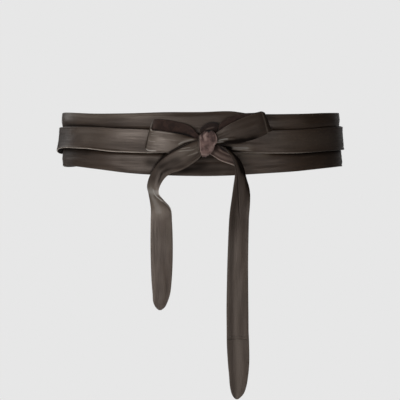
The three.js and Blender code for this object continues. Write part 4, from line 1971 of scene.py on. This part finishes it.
@dataclass
class Studio:
    """A plain pale floor below the belt, a backdrop that only the camera sees, and soft lights.

    Attributes:
        floor_height: Its height in metres.
        floor_radius: Its radius in metres.
        floor_sides: How many sides its round outline has.
        floor_tone: Its colour.
        floor_roughness: Its roughness.
        sheet_gap: How far the sheet that only the camera sees lies above it, in metres.
        sheet_glow: How bright that sheet is where no light falls on it.
        backdrop_radius: The radius of the dome in metres.
        backdrop_sides: How many sides the dome has round it.
        backdrop_rings: How many rings it has from bottom to top.
        backdrop_tone: Its colour.
        backdrop_glow: Its brightness.
        ambient_tone: The colour of the light from all round.
        ambient_strength: Its strength.
        target: What the lights are aimed at, in metres.
        lights: The lights.
    """

    floor_height: float = -0.45
    floor_radius: float = 2.4
    floor_sides: int = 96
    floor_tone: str = "#dedede"
    floor_roughness: float = 0.9
    sheet_gap: float = 0.002
    sheet_glow: float = 0.55
    backdrop_radius: float = 7.0
    backdrop_sides: int = 48
    backdrop_rings: int = 24
    backdrop_tone: str = "#e7e7e7"
    backdrop_glow: float = 1.0
    ambient_tone: str = "#ffffff"
    ambient_strength: float = 0.06
    target: Vector = field(default_factory=lambda: Vector((0.0, -0.09, -0.03)))
    lights: tuple[Softbox, ...] = (
        Softbox("key", azimuth=-35, elevation=4, width=0.6, height=0.9, power=17),
        Softbox("left_side", azimuth=-84, elevation=10, width=0.6, height=1.2, power=3),
        Softbox("left_rim", azimuth=-128, elevation=20, width=0.6, height=1.2, power=4.5),
        Softbox("right_fill", azimuth=32, elevation=0, width=0.4, height=0.9, power=4.5),
        Softbox("right_rim", azimuth=150, elevation=15, width=0.4, height=1.2, power=0.5),
        Softbox("behind", azimuth=180, elevation=8, width=1.0, height=0.8, power=7),
        Softbox("front", azimuth=-6, elevation=-9, width=0.7, height=0.4, power=4),
        Softbox("top", azimuth=-10, elevation=55, width=0.8, height=0.6, power=1.5),
    )

    def make(self) -> None:
        """Adds the floor, the backdrop, the ambient light and the lights."""
        bpy.context.scene.view_settings.view_transform = "Standard"
        self.floor()
        self.backdrop()
        world = bpy.data.worlds.new("studio_ambient")
        world.use_nodes = True
        background = world.node_tree.nodes["Background"]
        background.inputs["Color"].default_value = linear(self.ambient_tone)
        background.inputs["Strength"].default_value = self.ambient_strength
        bpy.context.scene.world = world
        for light in self.lights:
            light.make(self.target)

    def floor(self) -> None:
        """Adds the floor, which lights the belt from below, and a paler sheet that only the camera sees."""
        self.disc("studio_floor", "painted_floor_matt", 0.0, 0.0)
        sheet = self.disc("studio_floor_sheet", "floor_paper_evenly_lit", self.sheet_gap, self.sheet_glow)
        only_for_the_camera(sheet)

    def disc(self, name: str, finish: str, rise: float, glow: float) -> bpy.types.Object:
        """Adds a round sheet at the floor.

        Args:
            name: Its name.
            finish: The name of its finish.
            rise: How far it lies above the floor, in metres.
            glow: How bright it is where no light falls on it.

        Returns:
            The sheet.
        """
        bpy.ops.mesh.primitive_circle_add(
            vertices=self.floor_sides,
            radius=self.floor_radius,
            fill_type="NGON",
            location=(0, 0, self.floor_height + rise),
        )
        sheet = bpy.context.object
        sheet.name = name
        material, tree = blank(finish)
        tone = linear(self.floor_tone)
        shader = add(
            tree,
            "BsdfPrincipled",
            {
                "Base Color": tone,
                "Roughness": self.floor_roughness,
                "Emission Color": tone,
                "Emission Strength": glow,
            },
        )
        add(tree, "OutputMaterial", links={"Surface": shader})
        sheet.data.materials.append(material)
        return sheet

    def backdrop(self) -> None:
        """Adds the backdrop."""
        bpy.ops.mesh.primitive_uv_sphere_add(
            segments=self.backdrop_sides, ring_count=self.backdrop_rings, radius=self.backdrop_radius
        )
        dome = bpy.context.object
        dome.name = "studio_backdrop"
        material, tree = blank("backdrop_paper_evenly_lit")
        tone = linear(self.backdrop_tone)
        shader = add(tree, "Emission", {"Color": tone, "Strength": self.backdrop_glow})
        add(tree, "OutputMaterial", links={"Surface": shader})
        dome.data.materials.append(material)
        only_for_the_camera(dome)


@dataclass(frozen=True)
class Viewpoint:
    """The camera: level, straight in front of the belt, with a long lens.

    Attributes:
        x: How far to the right it stands.
        distance: How far in front of the waist's middle it stands.
        height: How high it stands.
        lens: Its focal length.
        sensor: The width of its sensor.
        farthest: How far it sees, in metres.
    """

    x: float = -1.45
    distance: float = 2600.0
    height: float = -58.6
    lens: float = 238.8
    sensor: float = 36.0
    farthest: float = 50.0

    def make(self) -> bpy.types.Object:
        """Adds the camera and makes it the scene's.

        Returns:
            The camera.
        """
        data = bpy.data.cameras.new("viewpoint")
        data.lens = self.lens
        data.sensor_width = self.sensor
        data.clip_end = self.farthest
        camera = bpy.data.objects.new("viewpoint", data)
        camera.location = (self.x * MM, -self.distance * MM, self.height * MM)
        camera.rotation_euler = (math.pi / 2, 0, 0)
        bpy.context.scene.collection.objects.link(camera)
        bpy.context.scene.camera = camera
        return camera


# The belt


def belt() -> list[LeatherPiece]:
    """Lists the belt's pieces, in the order in which they are put on.

    Returns:
        The pieces.
    """
    # In each piece, the dark marks are painted shade and the pale marks are painted highlights.
    return [
        FrontPanel(),
        Tie(
            node="tie_left_front",
            rows=LEFT_STRAP_ROWS,
            painted_highlight_marks=marks(
                ((200, 1.0), (405, 1.0), 0.7, 1.3),
                ((345, 1.0), (400, 1.0), 0.6, 1.5),
                ((284, -0.6), (384, -0.62), 3.4, 0.6),
                ((296, 0.0), (352, 0.0), 7.0, 0.35),
            ),
            painted_shade_marks=marks(
                ((205, 0.0), (284, 0.0), 13.0, 0.45),
                ((330, 0.5), (402, 0.5), 5.0, 0.3),
            ),
            rubbed_and_highlight=(0.25, 1.0),
            reliefs=(
                Waves(seed=21, depth=0.12, length=60, width=9),
                Waves(seed=22, depth=0.05, length=30, width=4),
                Rim(),
                Gathers(origin=1.0, reach=28, depth=0.6, count=2.6, seed=23),
            ),
            seams=(Seam(inset=3), Seam(inset=12)),
        ),
        Tie(
            node="tie_right_front",
            rows=RIGHT_STRAP_ROWS,
            rubbed_and_highlight=(0.25, 1.0),
            rubbed_between=(10, 108),
            rubbed_fade=25,
            painted_highlight_marks=marks(
                ((15, 0.48), (43, 0.58), 4.2, 1.3),
                ((21, 0.4), (36, 0.48), 0.7, 1.3),
                ((24, 0.72), (44, 0.84), 0.8, 1.25),
                ((50, 0.0), (150, 0.1), 11.0, 0.32),
            ),
            painted_shade_marks=marks(
                ((8, 0.55), (23.5, 0.62), 3.6, 1.6),
                ((14, 1.0), (31, 1.02), 1.6, 1.5),
                ((18, 1.0), (48, 1.0), 0.9, 0.7),
            ),
            reliefs=(
                Waves(seed=31, depth=0.06, length=60, width=9),
                Waves(seed=32, depth=0.03, length=30, width=4),
                Rim(),
                Crease(start=(12, 0.35), end=(44, 0.62), depth=0.9, width=1.6),
                Crease(start=(14, 0.75), end=(40, 0.86), depth=0.6, width=1.1),
                Gathers(origin=0.0, reach=30, depth=0.7, count=3.0, seed=33),
            ),
            seams=(Seam(inset=-3), Seam(inset=-12)),
        ),
        Strip(
            node="half_knot",
            slot="flesh_side",
            rows=HALF_KNOT_ROWS,
            held=Held.GATHERED,
            grain_side=Side.MINUS,
            along=120,
            rubbed_and_highlight=(0.0, 0.1),
            painted_highlight_marks=marks(
                ((30, -0.4), (31, 0.7), 0.6, 0.3),
                ((39.2, -0.4), (39.2, 0.6), 0.6, 0.4),
            ),
            painted_shade_marks=marks(
                ((40.4, -0.16), (44.2, -0.12), 1.5, 2.0),
                ((27, -1.0), (28, 1.0), 2.5, 0.5),
                ((10, 0.0), (46, 0.0), 14.0, 0.42),
            ),
            reliefs=(Waves(seed=41, depth=0.06, length=12, width=5),),
        ),
        Strip(
            node="bow_loop_left",
            rows=LEFT_LOOP_ROWS,
            rubbed_and_highlight=(0.3, 0.3),
            rubbed_between=(66, 92),
            painted_highlight_marks=marks(
                ((67.5, -1.0), (71, -0.9), 0.9, 1.3),
                ((69, -0.84), (96, -0.9), 0.6, 1.4),
                ((67, -0.66), (84, -0.7), 0.5, 1.32),
                ((68, -0.48), (80, -0.5), 0.5, 1.4),
                ((76, -0.2), (98, -0.32), 0.6, 1.22),
                ((66, 0.05), (77, 0.04), 0.6, 1.32),
                ((70, 0.3), (88, 0.26), 0.5, 1.3),
                ((66, 0.6), (79, 0.58), 0.5, 1.32),
                ((65, 0.93), (79, 0.9), 0.9, 1.6),
                ((63, 0.0), (82, -0.1), 6.0, 0.98),
                ((114, -0.86), (96.5, 0.1), 2.2, 1.25),
                ((104, -0.3), (96.5, 0.16), 1.0, 1.5),
                ((54, 0.0), (104, 0.0), 12.0, 0.64),
            ),
            painted_shade_marks=marks(
                ((65.6, -1.3), (66.0, 1.3), 0.9, 0.9),
                ((86, -1.06), (120, -1.02), 0.8, 1.0),
                ((113, -0.6), (86, 1.15), 0.9, 1.1),
                ((40, 0.1), (8, -0.2), 1.0, 1.0),
            ),
            held=Held.FOLDED,
            grain_side=Side.MINUS,
            reliefs=(
                Waves(seed=51, depth=0.08, length=30, width=5),
                Gathers(origin=1.0, reach=20, depth=0.6, count=2.6, seed=52),
                Gathers(origin=0.0, reach=16, depth=0.35, count=2.2, seed=53),
            ),
        ),
        Strip(
            node="bow_loop_right",
            rows=RIGHT_LOOP_ROWS,
            rubbed_and_highlight=(0.4, 0.1),
            rubbed_between=(66, 118),
            painted_highlight_marks=marks(
                ((106, 0.42), (120, 0.26), 1.3, 1.65),
                ((111, 0.62), (122, 0.38), 1.3, 1.6),
                ((69.5, -1.3), (68.6, 1.3), 0.7, 1.1),
                ((107, -0.6), (122, -0.6), 4.0, 0.45),
            ),
            painted_shade_marks=marks(
                ((118, 1.0), (76, 1.0), 4.4, 0.9),
                ((112, 0.7), (92, 0.85), 3.0, 0.5),
                ((124, 0.86), (100, 1.0), 1.8, 1.2),
                ((6, 0.86), (18, 0.8), 2.4, 1.5),
                ((50, 0.0), (140, 0.0), 30.0, 0.3),
            ),
            held=Held.FOLDED,
            reliefs=(
                Waves(seed=61, depth=0.08, length=30, width=5),
                Gathers(origin=1.0, reach=18, depth=0.5, count=2.4, seed=62),
                Crease(start=(100, 0.5), end=(119, 0.35), depth=1.2, width=1.8),
                Gathers(origin=0.0, reach=16, depth=0.35, count=2.2, seed=63),
            ),
        ),
        KnotWrap(
            rubbed_and_highlight=(0.0, 0.2),
            painted_highlight_marks=marks(
                ((48.2, -0.46), (57.4, -0.16), 1.3, 0.3),
                ((50.8, -0.95), (56, -0.66), 0.8, 0.25),
                ((9.8, -1.2), (10.6, 1.2), 0.8, 0.3),
                ((51.7, -0.95), (60, -0.76), 0.5, 0.35),
                ((-3, -0.76), (10, -0.74), 0.5, 0.35),
                ((1.5, 0.6), (7.5, 0.75), 2.2, 0.18),
                ((-0.5, 0.75), (3, 1.0), 0.5, 0.4),
            ),
            painted_shade_marks=marks(
                ((46.4, -1.8), (46.4, 1.8), 1.8, 0.75),
                ((50, -0.78), (57, -0.4), 0.5, 0.8),
                ((40, 0.1), (49.8, 0.04), 1.6, 1.6),
                ((48.5, 0.56), (59, 0.5), 2.6, 0.45),
                ((0.5, -0.03), (5.5, -0.03), 1.8, 0.3),
                ((52, -0.98), (62, -0.84), 0.5, 0.9),
                ((-4, -0.84), (12, -0.84), 0.5, 0.9),
            ),
            reliefs=(
                Waves(seed=71, depth=0.1, length=9, width=6),
                Crease(start=(46, -0.72), end=(58, -0.66), depth=0.6, width=0.8),
                Crease(start=(46, -0.06), end=(57, -0.02), depth=0.5, width=0.8),
                Crease(start=(45, 0.06), end=(54, -0.06), depth=-1.3, width=1.0),
                Crease(start=(46, 0.62), end=(57, 0.7), depth=0.6, width=0.9),
                Crease(start=(6, -0.4), end=(14, 0.9), depth=0.5, width=1.2),
                Crease(start=(1, -0.3), end=(6, 0.5), depth=-0.5, width=1.0),
            ),
        ),
        Strip(
            node="tail_left",
            rows=LEFT_TAIL_ROWS,
            along=320,
            painted_highlight_marks=marks(
                ((12, 0.0), (32, -0.84), 1.0, 1.34),
                ((17, -0.5), (28, -0.86), 0.6, 1.5),
                ((9, 0.35), (26, 0.0), 0.7, 1.25),
                ((2, 0.0), (36, -0.35), 5.0, 0.75),
                ((50, 0.86), (4, 0.96), 0.6, 1.05),
                ((73, -1.9), (76.5, 2.4), 6.0, 1.36),
                ((69, 0.1), (88, 0.92), 1.9, 1.62),
                ((63, -0.2), (104, -0.2), 10.0, 1.2),
                ((98, 0.66), (136, 0.72), 3.6, 0.45),
                ((78, 0.66), (98, 1.08), 0.8, 1.45),
            ),
            painted_shade_marks=marks(
                ((0, -1.0), (66, -1.0), 1.3, 1.2),
                ((57, 0.2), (26, 0.84), 2.0, 0.5),
                ((54, -0.5), (28, 0.1), 4.5, 0.55),
                ((53, 0.25), (66, 0.7), 0.9, 0.6),
                ((42, 0.0), (71, 0.0), 8.0, 0.25),
                ((84, 0.7), (96, 0.9), 0.5, 0.6),
                ((86, -0.15), (124, -0.4), 4.5, 0.18),
                ((130, -0.1), (260, 0.05), 4.5, 0.16),
            ),
            reliefs=(
                Waves(seed=81, depth=0.08, length=40, width=6),
                Gathers(origin=0.0, reach=24, depth=0.5, count=2.6, seed=82, held=10),
            ),
        ),
        Strip(
            node="tail_right",
            rows=RIGHT_TAIL_ROWS,
            along=340,
            rubbed_and_highlight=(0.0, 0.5),
            painted_highlight_marks=marks(
                ((-2, 1.0), (27, 0.95), 1.7, 1.0),
                ((3, 0.4), (29, 0.45), 5.0, 0.4),
                ((12, -0.4), (25, -0.05), 2.2, 0.5),
                ((100, 0.72), (400, 0.72), 3.6, 0.28),
                ((104, -0.05), (420, 0.0), 5.0, 0.5),
            ),
            painted_shade_marks=marks(
                ((13, -1.0), (52, -0.15), 3.2, 1.5),
                ((25, 0.0), (50, 0.1), 3.4, 1.1),
                ((34, 0.5), (52, 0.45), 5.0, 0.5),
                ((46, -0.92), (90, 0.06), 0.6, 0.6),
                ((50, -1.6), (50, 1.6), 9.0, 0.25),
                ((70, -1.6), (70, 1.6), 16.0, 0.25),
                ((20, 0.0), (300, 0.0), 30.0, 0.15),
                ((95, -1.6), (95, 1.6), 14.0, 0.25),
                ((50, -0.6), (400, -0.6), 4.0, 0.34),
            ),
            reliefs=(
                Waves(seed=91, depth=0.08, length=40, width=6),
                Crease(start=(46, -0.92), end=(90, 0.06), depth=-0.4, width=0.8),
                Gathers(origin=0.0, reach=18, depth=0.3, count=2.0, seed=92),
            ),
            seams=(Seam(inset=-2.6),),
        ),
        Strip(
            node="tail_right_tip",
            rows=RIGHT_TAIL_TIP_ROWS,
            along=110,
            painted_highlight_marks=marks(
                ((-60, 0.72), (110, 0.72), 3.6, 0.28),
                ((-60, 0.0), (110, 0.0), 5.0, 0.7),
            ),
            painted_shade_marks=marks(
                ((-40, 0.0), (110, 0.0), 30.0, 0.12),
                ((-60, -0.6), (120, -0.6), 4.0, 0.34),
            ),
            reliefs=(Waves(seed=95, depth=0.05, length=30, width=6),),
            seams=(Seam(inset=5.9, on_flesh=True),),
        ),
    ]


def main() -> None:
    """Builds the camera, the belt and the studio."""
    logging.basicConfig(level=logging.INFO, format="%(message)s")
    Viewpoint().make()
    finishes = Finishes()
    for piece in belt():
        made = piece.build(finishes)
        log.info("%s: %d faces", made.name, len(made.data.polygons))
    Studio().make()


if __name__ == "__main__":
    main()
